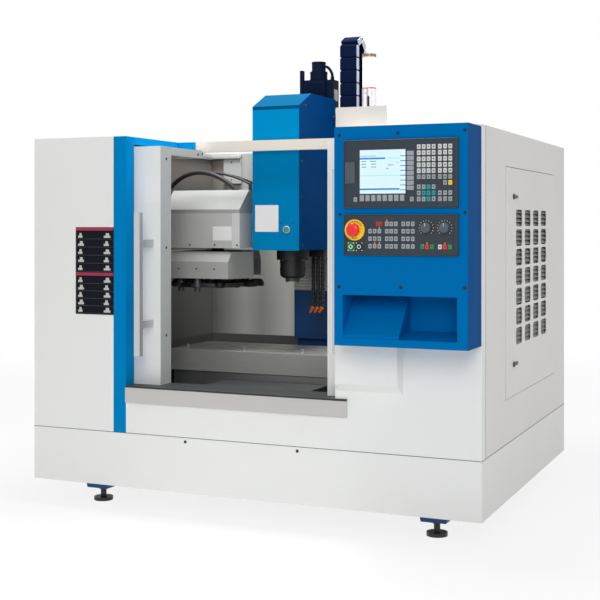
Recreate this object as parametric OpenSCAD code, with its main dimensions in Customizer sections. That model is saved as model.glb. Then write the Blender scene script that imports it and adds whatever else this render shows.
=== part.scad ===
// A vertical machining centre: a cast bed with a column, a cross table and a
// sliding head, a tool magazine beside the spindle, and a sheet metal enclosure
// with two sliding doors and an operator cabinet.
// X runs along the table to the right, Y to the back and Z up. The origin lies
// on the floor under the middle of the machine.

/* [Enclosure] */
// Width over the side panels
body_w = 2200; // [2160:10:2300]
// Depth from the front sheets to the rear panel
body_d = 1715; // [1690:5:1800]
// Height of the enclosure over the underside of the tray
body_h = 1628; // [1610:2:1700]
// Gap between the floor and the tray
foot_clear = 125; // [110:1:150]
// Height of the base tray
tray_h = 251; // [235:1:270]
// Thickness of the sheet metal
sheet_t = 3; // [2:0.5:4]
// Depth of the folded front panels
panel_d = 60; // [40:1:64]
// Height of the folded strip along the top of the cabinets
beam_h = 51; // [40:1:60]

/* [Front opening] */
// Width of the white sheet left of the door frame
white_front_w = 446; // [430:1:470]
// Width of the coloured strip beside the opening
frame_strip_w = 66; // [50:1:80]
// Depth of the coloured post behind the front
frame_post_d = 70; // [50:1:74]
// Height of the coloured rail over the door
frame_rail_h = 35; // [25:1:38]
// Width of the opening between the cabinets
opening_w = 1045; // [1010:1:1070]
// Height of the white apron between the tray and the sill
apron_h = 142; // [130:1:150]
// Height of the door sill
sill_h = 77; // [60:1:90]
// How far the sill stands out of the front
sill_out = 8; // [4:1:20]
// Depth of the space that the doors slide in
pocket_d = 497; // [490:1:510]
// Depth of the cross beam over the opening
beam_d = 33; // [20:1:36]

/* [Sliding doors] */
// Width of one door
door_w = 575; // [560:1:590]
// Distance of the door front behind the cabinet front
door_inset = 76; // [76:1:84]
// Thickness of the door's front panel
door_panel_t = 30; // [24:1:40]
// Depth of the stile at the meeting edge
door_stile_d = 97; // [80:1:110]
// Depth of the door's roof
door_roof_d = 410; // [380:1:412]
// Height of the rail under the door's roof
door_rail_h = 38; // [30:1:50]
// Distance from the cabinet top to the door's roof
door_drop = 45; // [40:1:60]
// Width of the window
window_w = 290; // [200:1:320]
// Distance of the window from the meeting edge
window_in = 170; // [160:1:190]
// Height of the window
window_h = 620; // [500:1:700]
// Width of the left door that shows beside the frame when it is open
left_show = 141; // [120:1:150]
// Width of the right door that shows when it is open
right_show = 67; // [60:1:90]

/* [Operator cabinet] */
// Width of the operator cabinet
op_w = 567; // [560:1:575]
// Depth in front of the enclosure
op_d = 197; // [170:1:220]
// Height of the operator cabinet
op_h = 897; // [880:1:920]
// Distance from the cabinet tops down to its top
op_drop = 9; // [4:1:20]
// Width of the screen unit and of the key panel
unit_w = 484; // [470:1:490]
// Height of the screen unit
screen_unit_h = 276; // [260:1:280]
// Height of the key panel
key_panel_h = 166; // [150:1:170]
// Height of the storage recess
recess_h = 177; // [150:1:190]
// Depth of the storage recess
recess_d = 150; // [120:1:165]

/* [Table and saddle] */
// Length of the table
table_l = 888; // [850:2:900]
// Width of the table
table_w = 423; // [400:1:430]
// Thickness of the table
table_h = 60; // [54:1:70]
// Width of a T-slot
slot_w = 18; // [14:1:22]
// Distance between T-slots
slot_pitch = 125; // [100:1:135]
// Length of the saddle
saddle_l = 1150; // [1100:2:1160]
// Height of the saddle
saddle_h = 72; // [60:1:84]
// Height from one guide's foot to the part that rides on it
guide_stack = 48; // [46:1:60]

/* [Column and head] */
// Width of the column
col_w = 340; // [320:2:380]
// Depth of the column
col_d = 380; // [340:2:400]
// Height of the column over the bed
col_h = 1308; // [1300:2:1360]
// Width of the head cover
head_w = 252; // [240:1:264]
// Depth of the head cover
head_d = 475; // [440:1:478]
// Height of the head cover at its front edge
head_front_h = 708; // [680:1:740]
// Extra height of the cover behind its sloped top
head_crown_h = 71; // [50:1:90]
// Height of the spindle nose over the table
nose_over_table = 346; // [330:1:360]
// Radius of the spindle housing
housing_r = 64; // [58:1:68]
// Radius of the flange over the housing
flange_r = 81; // [76:1:86]
// Radius of the turning spindle nose
nose_r = 38; // [34:1:42]
// Width of the spindle motor
motor_w = 116; // [100:1:130]

/* [Tool magazine] */
// Radius of the circle that the tools stand on
tool_circle_r = 220; // [210:1:222]
// Number of tool pockets
pockets = 12; // [8:1:14]
// Radius of a tool flange
tool_flange_r = 31.5; // [28:0.5:32]
// Height of the magazine's lower cover
ring_h = 134; // [120:1:146]
// Length of the magazine's fixed housing
mag_l = 432; // [420:1:440]
// Depth of the magazine's fixed housing
mag_d = 482; // [460:1:490]
// Height of the magazine's fixed housing
mag_h = 291; // [270:1:310]

/* [Side door] */
// Width of the side door
side_door_w = 1046; // [1000:2:1060]
// Height of the side door
side_door_h = 1022; // [1000:2:1030]
// Vent holes along the door
vent_cols = 4; // [2:1:4]
// Vent holes up the door
vent_rows = 7; // [4:1:7]

/* [Electrical cabinet] */
// Width of the electrical cabinet
elec_w = 1500; // [1300:10:1600]
// Height of the electrical cabinet
elec_h = 1250; // [1100:10:1300]
// Depth of the electrical cabinet's box
elec_d = 180; // [150:1:200]

/* [Hidden] */
$fn = 64;

// Clearances and the overrun of every cut
cut = 1;
run_gap = 0.3;
shaft_gap = 0.05;
seam = 3;

// Widths and depths that stretch with the body, which is counted as so many steps
width_steps = 2200;
depth_steps = 1715;
function across(steps) = steps * body_w / width_steps;
function deep(steps) = steps * body_d / depth_steps;

// Corners and levels of the enclosure
x0 = -body_w / 2;
x1 = body_w / 2;
y0 = -body_d / 2;
y1 = body_d / 2;
z_tray = foot_clear;
z_rim = z_tray + tray_h;
z_deck = z_rim + sheet_t;
z_top = z_tray + body_h;
x_frame = x0 + across(white_front_w);
x_open = x_frame + frame_strip_w;
x_right = x_open + across(opening_w);
z_sill0 = z_rim + apron_h;
z_sill = z_sill0 + sill_h;

// Feet
foot_in = 254;
foot_front = 212;
foot_back = 1540;
foot_pad_r = 46;
foot_pad_h = 16;
foot_screw_r = 14;
foot_nut_r = 24;
foot_nut_h = 12;
foot_block_w = 113;
foot_block_h = 59;
foot_block_flare = 13;
foot_xs = [x0 + across(foot_in), x1 - across(foot_in)];
foot_ys = [y0 + deep(foot_front), y0 + deep(foot_back)];

// Spindle axis, guards, bed and column
spindle_in = 507;
spindle_back = 767;
spindle_x = x_open + across(spindle_in);
spindle_y = y0 + deep(spindle_back);
left_guard_in = 212;
right_guard_in = 355;
back_guard_back = 1438;
guard_x0 = x0 + across(left_guard_in);
guard_x1 = x1 - across(right_guard_in);
guard_y = y0 + deep(back_guard_back);
bed_margin = 70;
bed_slab_h = 172;
bed_rib_w = 600;
bed_rib_front = 230;
bed_rib_back = 1640;
rib_y0 = y0 + deep(bed_rib_front);
rib_y1 = y0 + deep(bed_rib_back);
bed_over_rim = 106;
bed_top = z_rim + bed_over_rim;
bed_hole_gap = 0.5;
tray_rim_w = 30;
head_in = 560;
motor_front_gap = 18;
motor_back_gap = 1;
guides_to_motor = guide_stack + motor_back_gap + motor_w + motor_front_gap;
head_front = y0 + deep(head_in);
col_front = head_front + deep(head_d) + guides_to_motor;
col_top = bed_top + col_h;
col_wall = 30;
col_foot_w = col_w;
col_foot_d = 44;
col_foot_h = 260;
col_foot_over_table = 16;

// Guides, carriages, saddle and table
rail_w = 34;
rail_h = 28;
carriage_l = 90;
carriage_w = 70;
carriage_lift = 8;
y_rail_half = 200;
x_rail_half = 140;
z_rail_half = 90;
rail_start = 6;
rail_end_gap = 8;
saddle_inset = 15;
saddle_z = bed_top + guide_stack;
saddle_top = saddle_z + saddle_h;
table_z = saddle_top + guide_stack;
table_top = table_z + table_h;
table_shift = 149;
table_x = spindle_x - table_shift;
table_reach = 180;
saddle_reach = 120;
skirt_t = 6;
skirt_gap = 4;
slot_depth = 32;
slot_under_w = 30;
slot_under_h = 13;
slot_count = 3;
screw_r = 16;
screw_rise = 24;
nut_half = 34;
nut_l = 80;
bearing_l = 30;
axis_motor_w = 110;
cross_motor_w = 82;
cross_motor_l = 124;

// Heights of the head and of the magazine
nose_z = table_top + nose_over_table;
nose_h = 29;
housing_h = 80;
flange_h = 50;
head_z = nose_z + nose_h + housing_h + flange_h;
head_slope_d = 150;
head_x0 = spindle_x - head_w / 2;
head_x1 = spindle_x + head_w / 2;
cast_front = 120;
cast_h = 440;
cast_step_h = 240;
cast_back = col_front - guide_stack;
head_rail_z0 = table_top + col_foot_over_table + col_foot_h;
head_car_z0 = head_z + 25;
head_car_z1 = head_car_z0 + 210;
motor_shelf_t = 20;
motor_y = cast_back - motor_back_gap - motor_w / 2;
motor_z = head_z + cast_h + motor_shelf_t;
motor_body_h = 430;
motor_drum_r = 46;
motor_drum_h = 48;
motor_cap_r = 37;
motor_cap_h = 52;
motor_box_w = 40;
motor_box_h = 150;
taper_r = 22.2;
taper_small_r = 12.6;
taper_h = 65;
drawbar_r = 8.5;
spindle_top_h = 150;
key_w = 16;
key_h = 6;
key_in = 30;

// Drag chain
chain_w = 95;
chain_t = 35;
chain_bend_r = 72;
chain_top_over_nose = 1266;
chain_back = 177;
chain_front = col_front - chain_back;
chain_x0 = head_x1 + 22;
chain_front_foot = 690;
chain_back_foot = 540;
bracket_t = 12;
bellows_t = 6;

// Magazine
mag_gap = 10;
mag_z = head_z + mag_gap;
mag_head_gap = 55;
mag_x1 = head_x0 - mag_head_gap;
mag_x0 = mag_x1 - mag_l;
mag_front = spindle_y - mag_d / 2;
mag_face_h = 192;
mag_bevel_d = 110;
mag_wall = 3;
mag_x = spindle_x - tool_circle_r - 206.5;
ring_clear = 9;
ring_z1 = head_z - ring_clear;
ring_z0 = ring_z1 - ring_h;
ring_half = tool_circle_r + 34;
ring_slot_half = flange_r + 18;
ring_cut_x = 65;
ring_cut_y = ring_half - ring_slot_half;
ring_slot_in = 128;
ring_bevel_h = 50;
plate_r = tool_circle_r + 21;
plate_h = 21;
plate_gap = 9;
plate_z1 = nose_z - plate_gap;
plate_z0 = plate_z1 - plate_h;
boss_r = 50;
boss_h = 88;
shaft_r = 20;
shaft_in = 70;
rod_r = 14;
rod_rise = 45;
rod_half = 60;
slide_l = 66;
slide_half = 82;
slide_lift = 20;
neck_r = 45;
mag_arm_w = 40;
mag_arm_h = 150;
mag_arm_rise = 25;
mag_arm_in = 180;
holder_taper_h = 60;
holder_stud_h = 16;
holder_stud_r = 8;
holder_slots = [3, 5, 6, 8, 9];
tool_body_r = 16;
tool_body_h = 26;
flange_inset = 3;

// Hoses over the magazine: offsets of their ends and of the bends next to them
hose_rs = [13, 6, 6];
hose_steps = 24;
hose_starts = [[0, 60, -60], [0, 120, 20], [0, 150, 40]];
hose_first_bends = [[170, -40, 250], [230, -40, 180], [240, -40, 150]];
hose_last_bends = [[-90, -20, 130], [-90, -20, 90], [-86, -10, 80]];
hose_ends = [[-60, 20, 0], [-22, 60, 0], [-14, 100, 0]];

// Coolant
manifold_w = 84;
manifold_d = 44;
manifold_h = 40;
manifold_behind = 183;
manifold_right = 24;
hose_r = 10;
hose_pitch = 26;
hose_len = 258;
hose_count = 3;
nozzle_r = 9;
nozzle_tip_r = 4;
nozzle_l = 38;
nozzle_tilt = 24;

// Doors
door_h = z_top - door_drop - z_sill - run_gap;
door_y = y0 + door_inset;
door_end_t = 12;
window_rim = 24;
window_lap = 10;
glass_t = 6;
window_rise = 260;
left_door_x = x_open + left_show;
right_door_x = x_right - right_show;
handle_w = 30;
handle_t = 28;
handle_l = 657;
handle_rise = 145;
handle_in = 51;
handle_out = 101;
handle_post_r = 17;
handle_post_in = 142;
handle_post_w = 26;
pull_in = 31;
pull_w = 24;
pull_out = 22;
pull_rise = 186;
pull_l = 803;
pocket_gap = 8;
pocket_y = y0 + deep(pocket_d);
roof_d = door_roof_d + deep(pocket_d) - pocket_d;
leaf_w = across(door_w);
pane_w = across(window_w);
frame_tab_w = 91;
frame_tab_t = 10;
beam_y = pocket_y + frame_tab_t;
frame_tab_h = 46;
beam_left_in = 20;
beam_right_past = 60;

// Operator cabinet
op_x1 = x1 - 2;
op_x0 = op_x1 - across(op_w);
op_z1 = z_top - op_drop;
op_z0 = op_z1 - op_h;
op_y = y0 - op_d;
unit_t = 8;
unit_in_right = 38;
unit_x1 = op_x1 - unit_in_right;
unit_x0 = unit_x1 - across(unit_w);
screen_unit_drop = 58;
unit_gap = 26;
su_z1 = op_z1 - screen_unit_drop;
su_z0 = su_z1 - screen_unit_h;
kp_z1 = su_z0 - unit_gap;
kp_z0 = kp_z1 - key_panel_h;
screen_x = 71;
screen_z = 58;
screen_w = 195;
screen_h = 177;
screen_t = 2;
cap_w = 15.5;
cap_h = 18.5;
cap_t = 2;
// Blocks of keys: the lower left key's centre as shares of the width and the height,
// how many across and up, and the steps between them as the same shares
screen_key_shares = [
    [0.165, 0.147, 8, 1, 0.0507, 0],
    [0.106, 0.127, 1, 1, 0, 0],
    [0.604, 0.127, 1, 1, 0, 0],
    [0.590, 0.290, 1, 8, 0, 0.072],
    [0.664, 0.127, 4, 3, 0.0423, 0.0875],
    [0.844, 0.127, 3, 2, 0.044, 0.0875],
    [0.888, 0.358, 2, 1, 0.044, 0],
    [0.664, 0.447, 4, 6, 0.0423, 0.0868],
    [0.844, 0.447, 3, 6, 0.044, 0.0868],
];
key_panel_shares = [
    [0.238, 0.226, 3, 3, 0.041, 0.182],
    [0.386, 0.226, 3, 4, 0.0395, 0.182],
    [0.530, 0.226, 3, 4, 0.041, 0.182],
    [0.694, 0.222, 3, 1, 0.0405, 0],
    [0.845, 0.222, 3, 1, 0.0425, 0],
];
recess_rise = 31;
recess_in = 46;
recess_w = 484;
recess_wall = 3;
divider_x = 241;
wedge_front_h = 12;
wedge_back_gap = 14;
floor_rise = 26;
bump_in = 15;
bump_w = 290;
bump_d = 42;
bump_bevel = 35;
bump_side = 12;
bump_over_sill = 37;
estop_x = 49;
estop_z = 103;
estop_r = 28;
estop_stem_r = 9;
estop_stem_l = 26;
estop_out = 32;
estop_cap_h = 20;
estop_travel = 4;
ring_out_r = 43;
ring_t = 5;
knob_r = 22;
knob_h = 20;
knob_shaft_r = 3;
knob_shaft_l = 14;
knob_gap = 0.5;
knob_z = 112;
feed_knob_x = 352;
speed_knob_x = 428;
button_r = 10;
button_stem_r = 5;
button_z = 35;
on_button_x = 33;
off_button_x = 69;
button_out = 7;
button_cap_h = 4;
control_places = [[estop_x, estop_z], [feed_knob_x, knob_z], [speed_knob_x, knob_z],
    [on_button_x, button_z], [off_button_x, button_z]];
flap_x = 6;
flap_w = 44;
flap_z = 100;
flap_h = 88;
flap_t = 6;
flap_pin_r = 3;

// Roof box and lamp
roof_box_in = 32;
roof_box_w = 238;
roof_box_h = 100;
roof_box_d = 200;
roof_box_back = 85;
roof_box_slope = 80;
roof_box_x0 = x_right - roof_box_in;
lamp_x = roof_box_x0 + 132;
lamp_y = y0 + 150;
lamp_r = 31;
lamp_base_h = 82;
lamp_lens_h = 140;
lamp_cap_h = 12;
lamp_wall = 2;

// Side door, latches and rear cabinet
side_door_front = 402;
side_door_rise = 198;
side_door_t = 25;
side_door_out = 2;
side_y0 = y0 + deep(side_door_front);
side_y1 = side_y0 + deep(side_door_w);
side_z0 = z_rim + side_door_rise;
side_z1 = side_z0 + side_door_h;
pivot_x = 3;
pivot_y = 7;
pivot_r = 2;
pivot_in = 10;
vent_w = 126;
vent_h = 76;
vent_gap_x = 50;
vent_gap_z = 13.5;
vent_r = 20;
vent_front = 190;
vent_rise = 223;
latch_in = 138;
latch_low = 141;
latch_high = 128;
latch_r = 12;
latch_t = 6;
latch_arm_l = 70;
latch_arm_w = 14;
latch_stem_r = 6;
latch_stem_l = 34;
elec_rise = 100;
elec_x0 = -elec_w / 2;
elec_x1 = elec_w / 2;
elec_z0 = z_rim + elec_rise;
elec_z1 = elec_z0 + elec_h;
elec_y1 = y1 + elec_d;
elec_door_t = 25;
hinge_r = 7;
hinge_out = 8;
hinge_l = 80;
hinge_pin_r = 3;
hinge_in = 160;
switch_plate = 60;
switch_plate_t = 4;
switch_r = 22;
switch_h = 26;
switch_in = 200;
switch_shaft_r = 5;
switch_shaft_l = 20;
switch_from_edge = 220;

// A box from one corner to the other
module block(lo, hi) {
    translate(lo) cube(hi - lo);
}

// A box of sheet metal that is open to the back
module folded_panel(lo, hi) {
    difference() {
        block(lo, hi);
        block([lo[0] + sheet_t, lo[1] + sheet_t, lo[2] + sheet_t],
            [hi[0] - sheet_t, hi[1] + cut, hi[2] - sheet_t]);
    }
}

// A profile in Y and Z, drawn out along X
module along_x(from, to, points) {
    translate([from, 0, 0]) rotate([90, 0, 90]) linear_extrude(to - from) polygon(points);
}

// A cylinder that runs along +Y
module along_y(at, r, l) {
    translate(at) rotate([-90, 0, 0]) cylinder(r = r, h = l);
}

// A cylinder that runs along +X
module across_x(at, r, l) {
    translate(at) rotate([0, 90, 0]) cylinder(r = r, h = l);
}

// A rounded rectangle in the plane
module rounded(w, h, r) {
    translate([r, 0]) square([w - 2 * r, h]);
    translate([0, r]) square([w, h - 2 * r]);
    for (px = [r, w - r], pz = [r, h - r]) translate([px, pz]) circle(r, $fn = 24);
}

// A carriage over a rail that runs along Y, with its foot on the rail's foot level
module carriage_y() {
    difference() {
        translate([-carriage_w / 2, -carriage_l / 2, carriage_lift])
            cube([carriage_w, carriage_l, guide_stack - carriage_lift]);
        translate([-rail_w / 2 - run_gap, -carriage_l / 2 - cut, 0])
            cube([rail_w + 2 * run_gap, carriage_l + 2 * cut, rail_h + run_gap]);
    }
}

module levelling_feet() {
    color("dimgray")
    for (fx = foot_xs, fy = foot_ys) translate([fx, fy, 0]) {
        cylinder(r = foot_pad_r, h = foot_pad_h);
        cylinder(r = foot_screw_r, h = z_tray - foot_block_h);
        translate([0, 0, z_tray - foot_block_h - foot_nut_h])
            cylinder(r = foot_nut_r, h = foot_nut_h, $fn = 6);
    }
}

// A cast foot, wider at the top, that reaches down through the tray's floor
module foot_block() {
    hw = foot_block_w / 2;
    hf = hw + foot_block_flare;
    translate([0, hw, 0]) rotate([90, 0, 0]) linear_extrude(foot_block_w)
        polygon([[-hw, 0], [hw, 0], [hf, foot_block_h], [hf, foot_block_h + sheet_t],
            [-hf, foot_block_h + sheet_t], [-hf, foot_block_h]]);
}

module machine_bed() {
    z_slab = z_tray + sheet_t;
    color("steelblue") {
        for (fx = foot_xs, fy = foot_ys) translate([fx, fy, z_tray - foot_block_h]) foot_block();
        block([foot_xs[0] - bed_margin, foot_ys[0] - bed_margin, z_slab],
            [foot_xs[1] + bed_margin, foot_ys[1] + bed_margin, z_slab + bed_slab_h]);
        block([spindle_x - bed_rib_w / 2, rib_y0, z_slab], [spindle_x + bed_rib_w / 2, rib_y1, bed_top]);
    }
}

module base_tray() {
    hf = foot_block_w / 2 + foot_block_flare + bed_hole_gap;
    color("gainsboro")
    difference() {
        block([x0, y0, z_tray], [x1, y1, z_rim]);
        block([x0 + sheet_t, y0 + sheet_t, z_tray + sheet_t],
            [x1 - sheet_t, y1 - sheet_t, z_rim - sheet_t]);
        block([x0 + tray_rim_w, y0 + tray_rim_w, z_rim - sheet_t - cut],
            [x1 - tray_rim_w, y1 - tray_rim_w, z_rim + cut]);
        for (fx = foot_xs, fy = foot_ys)
            block([fx - hf, fy - hf, z_tray - cut], [fx + hf, fy + hf, z_tray + sheet_t + cut]);
    }
}

module column() {
    color("steelblue") {
        difference() {
            block([spindle_x - col_w / 2, col_front, bed_top],
                [spindle_x + col_w / 2, col_front + deep(col_d), col_top]);
            block([spindle_x - col_w / 2 + col_wall, col_front + col_wall, bed_top + col_wall],
                [spindle_x + col_w / 2 - col_wall, col_front + deep(col_d) - col_wall, col_top - col_wall]);
            block([spindle_x - col_w / 4, col_front + deep(col_d) - col_wall - cut, bed_top + col_w / 2],
                [spindle_x + col_w / 4, col_front + deep(col_d) + cut, col_top - col_w / 2]);
        }
        block([spindle_x - col_foot_w / 2, col_front - col_foot_d, head_rail_z0 - col_foot_h],
            [spindle_x + col_foot_w / 2, col_front, head_rail_z0]);
        // bracket of the chain's standing leg
        block([chain_x0, chain_front + 2 * chain_bend_r - chain_t, nose_z + chain_back_foot - bracket_t],
            [chain_x0 + chain_w, col_front, nose_z + chain_back_foot]);
        block([spindle_x + col_w / 2 - col_wall, col_front, nose_z + chain_back_foot - bracket_t],
            [max(chain_x0 + chain_w, spindle_x + col_w / 2), col_front + col_wall,
                nose_z + chain_back_foot]);
    }
}

// Rails of the long and the upright axis, and their screws with bearings at the ends
module guideways() {
    y_end = col_front - rail_end_gap;
    color("silver") {
        for (s = [-1, 1])
            block([spindle_x + s * y_rail_half - rail_w / 2, rib_y0 + rail_start, bed_top],
                [spindle_x + s * y_rail_half + rail_w / 2, y_end, bed_top + rail_h]);
        for (s = [-1, 1])
            block([spindle_x + s * z_rail_half - rail_w / 2, col_front - rail_h, head_rail_z0],
                [spindle_x + s * z_rail_half + rail_w / 2, col_front, col_top - bracket_t]);
        along_y([spindle_x, rib_y0, bed_top + screw_rise], screw_r, y_end - rib_y0);
        for (py = [rib_y0 + rail_start, y_end - bearing_l])
            block([spindle_x - nut_half, py, bed_top],
                [spindle_x + nut_half, py + bearing_l, bed_top + guide_stack - carriage_lift]);
        translate([spindle_x, col_front - screw_rise, head_rail_z0])
            cylinder(r = screw_r - sheet_t, h = col_top - head_rail_z0);
        block([spindle_x - nut_half, col_front - guide_stack + carriage_lift, col_top - bearing_l],
            [spindle_x + nut_half, col_front, col_top]);
    }
}

module axis_motors() {
    mw = axis_motor_w;
    color("dimgray") {
        block([spindle_x - mw / 2, rib_y0 - mw - bearing_l, z_deck],
            [spindle_x + mw / 2, rib_y0, z_deck + mw]);
        block([spindle_x - mw / 2, col_front + bearing_l, col_top],
            [spindle_x + mw / 2, col_front + bearing_l + mw, col_top + mw]);
        translate([spindle_x, col_front + bearing_l + mw / 2, col_top + mw])
            cylinder(r = mw / 2 - sheet_t, h = guide_stack);
    }
}

module left_front() {
    color("whitesmoke") {
        folded_panel([x0, y0, z_rim], [x_frame, y0 + panel_d, z_top]);
        block([x0 + sheet_t, y0 + panel_d - sheet_t, z_top - sheet_t], [x_frame, beam_y, z_top]);
    }
}

module left_frame() {
    color("deepskyblue") {
        folded_panel([x_frame, y0, z_rim], [x_open, y0 + frame_post_d, z_top]);
        block([x_frame, y0 + frame_post_d - sheet_t, z_top - frame_rail_h], [x_open, beam_y, z_top]);
        block([x_frame, pocket_y, z_top - frame_tab_h], [x_open + frame_tab_w, beam_y, z_top]);
    }
}

module front_apron() {
    color("whitesmoke")
    folded_panel([x_open, y0, z_rim], [x1, y0 + panel_d, z_sill0]);
}

// A sheet sill, open below, with a lip that laps over the right cabinet
module sill() {
    depth = door_inset + door_stile_d + seam;
    lip = 55;
    color("gray") {
        difference() {
            block([x_open, y0 - sill_out, z_sill0], [x_right, y0 + depth, z_sill]);
            block([x_open + sheet_t, y0 - sill_out + sheet_t, z_sill0 - cut],
                [x_right - sheet_t, y0 + depth - sheet_t, z_sill - sheet_t]);
        }
        block([x_right, y0 - sill_out, z_sill0], [x_right + lip, y0, z_sill]);
    }
}

module right_front() {
    bz0 = z_sill + bump_over_sill;
    bx0 = x_right + bump_in;
    bx1 = bx0 + bump_w;
    color("whitesmoke") {
        folded_panel([x_right, y0, z_sill0], [x1, y0 + panel_d, z_top]);
        block([x_right, y0 + panel_d - sheet_t, z_top - sheet_t], [x1 - sheet_t, beam_y, z_top]);
        block([x_right, pocket_y, z_top - frame_tab_h], [x_right + beam_right_past, beam_y, z_top]);
        // raised cover under the operator cabinet, bevelled below and at its side
        intersection() {
            along_x(bx0, bx1, [[y0, bz0], [y0 - bump_d, bz0 + bump_bevel],
                [y0 - bump_d, op_z0], [y0, op_z0]]);
            translate([0, 0, bz0]) linear_extrude(op_z0 - bz0)
                polygon([[bx0, y0], [bx0, y0 - bump_d], [bx1 - bump_side, y0 - bump_d], [bx1, y0]]);
        }
    }
}

// The storage recess as a box, grown by a margin on its hidden sides
module recess_box(grow) {
    rx1 = op_x1 - recess_in;
    block([rx1 - across(recess_w) - grow, op_y - cut, op_z0 + recess_rise - grow],
        [rx1 + grow, op_y + recess_d + grow, op_z0 + recess_rise + recess_h + grow]);
}

module operator_cabinet() {
    rx1 = op_x1 - recess_in;
    rx0 = rx1 - across(recess_w);
    rxd = rx0 + across(divider_x);
    rz0 = op_z0 + recess_rise;
    rz1 = rz0 + recess_h;
    ry1 = op_y + recess_d;
    color("royalblue") {
        difference() {
            union() {
                folded_panel([op_x0, op_y, op_z0], [op_x1, y0, op_z1]);
                intersection() {
                    recess_box(recess_wall);
                    block([op_x0, op_y, op_z0], [op_x1, y0, op_z1]);
                }
            }
            recess_box(0);
            for (at = control_places)
                along_y([unit_at(at[0]), op_y - cut, kp_z0 + at[1]],
                    estop_stem_r + cut, sheet_t + 2 * cut);
        }
        // sloped shelf on the left and sloped floor on the right
        along_x(rx0, rxd, [[op_y + sheet_t, rz0], [ry1, rz0], [ry1, rz1 - wedge_back_gap],
            [ry1 - wedge_back_gap, rz1 - wedge_back_gap], [op_y + sheet_t, rz0 + wedge_front_h]]);
        along_x(rxd, rx1, [[op_y + sheet_t, rz0], [ry1, rz0], [ry1, rz0 + floor_rise]]);
    }
}

module left_side_panel() {
    color("whitesmoke")
    difference() {
        block([x0, y0 + panel_d, z_rim], [x0 + sheet_t, y1 - sheet_t, z_top]);
        translate([x0 - cut, side_y0 + vent_front, side_z0 + vent_rise]) vent_holes(sheet_t + 2 * cut);
    }
}

// The grid of vent holes, cut along +X from the plane X = 0
module vent_holes(depth) {
    rotate([90, 0, 90]) linear_extrude(depth)
        for (c = [0 : vent_cols - 1], r = [0 : vent_rows - 1])
            translate([c * (vent_w + vent_gap_x), r * (vent_h + vent_gap_z)])
                rounded(vent_w, vent_h, vent_r);
}

module right_side_panel() {
    color("lightgray")
    difference() {
        block([x1 - sheet_t, y0 + panel_d, z_rim], [x1, y1 - sheet_t, z_top]);
        block([x1 - sheet_t - cut, side_y0 - seam, side_z0 - seam],
            [x1 + cut, side_y1 + seam, side_z1 + seam]);
    }
    // pivot pins over and under the door
    for (z = [side_z0 - seam - pivot_in, side_z1 - pivot_in])
        color("lightgray") translate([x1 - pivot_x, side_y1 - pivot_y, z])
            cylinder(r = pivot_r, h = 2 * pivot_in + seam);
    // frame behind the door, which carries its hinges and closes the seam
    color("lightgray")
    difference() {
        block([x1 - side_door_t - 2 * seam, side_y0 - tray_rim_w, side_z0 - tray_rim_w],
            [x1 - sheet_t, side_y1 + tray_rim_w, side_z1 + tray_rim_w]);
        block([x1 - side_door_t - 2 * seam - cut, side_y0 - seam, side_z0 - seam],
            [x1, side_y1 + seam, side_z1 + seam]);
    }
}

module rear_panel() {
    color("whitesmoke")
    block([x0, y1 - sheet_t, z_rim], [x1, y1, z_top]);
}

// Ledges between the outer panels and the inner guards
module top_covers() {
    color("whitesmoke")
    difference() {
        block([x0 + sheet_t, beam_y, z_top - sheet_t], [x1 - sheet_t, y1 - sheet_t, z_top]);
        block([guard_x0, beam_y - cut, z_top - sheet_t - cut], [guard_x1, guard_y, z_top + cut]);
        block([spindle_x - col_w / 2 - seam, beam_y, z_top - sheet_t - cut],
            [spindle_x + col_w / 2 + seam, col_front + deep(col_d) + seam, z_top + cut]);
    }
}

module crossbeam() {
    color("antiquewhite")
    block([x_open + beam_left_in, beam_y, z_top - beam_h],
        [x_right + beam_right_past, beam_y + beam_d, z_top]);
}

module roof_box() {
    ya = y0 + roof_box_back;
    color("antiquewhite")
    along_x(roof_box_x0, roof_box_x0 + roof_box_w, [[ya, z_top], [ya + roof_box_d, z_top],
        [ya + roof_box_d - roof_box_slope, z_top + roof_box_h], [ya, z_top + roof_box_h]]);
}

module lamp_base() {
    z = z_top + roof_box_h;
    color("silver")
    translate([lamp_x, lamp_y, z]) {
        cylinder(r = lamp_r, h = lamp_base_h);
        translate([0, 0, lamp_base_h + lamp_lens_h]) cylinder(r = lamp_r, h = lamp_cap_h);
    }
}

module lamp_lens() {
    color("white")
    translate([lamp_x, lamp_y, z_top + roof_box_h + lamp_base_h])
        cylinder(r = lamp_r - lamp_wall, h = lamp_lens_h);
}

// Deck over the tray and the sheet walls around the work space
module inner_guards() {
    z1 = z_top - sheet_t;
    zr = z_sill + run_gap + door_h - door_rail_h - seam;
    yp = door_y + door_stile_d + pocket_gap;
    rib = bed_rib_w / 2 + bed_hole_gap;
    color("slategray") {
        difference() {
            union() {
                block([x0 + sheet_t + run_gap, y0 + max(panel_d, frame_post_d) + run_gap, z_rim],
                    [x1 - side_door_t - 3 * seam, y1 - sheet_t - run_gap, z_deck]);
                block([guard_x0 - sheet_t, guard_y, z_rim],
                    [spindle_x - col_w / 2 - seam, guard_y + sheet_t, z1]);
                block([spindle_x + col_w / 2 + seam, guard_y, z_rim],
                    [guard_x1 + sheet_t, guard_y + sheet_t, z1]);
            }
            block([spindle_x - rib, rib_y0 - bed_hole_gap, z_rim - cut],
                [spindle_x + rib, rib_y1 + bed_hole_gap, bed_top + bed_hole_gap]);
        }
        for (gx = [guard_x0 - sheet_t, guard_x1]) {
            block([gx, yp, z_rim], [gx + sheet_t, beam_y + sheet_t, zr]);
            block([gx, beam_y, z_rim], [gx + sheet_t, guard_y + sheet_t, z1]);
        }
        block([guard_x0 - sheet_t, yp, z_rim], [x_open - seam, yp + sheet_t, zr]);
        block([x_right + seam, yp, z_rim], [guard_x1 + sheet_t, yp + sheet_t, zr]);
    }
}

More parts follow.
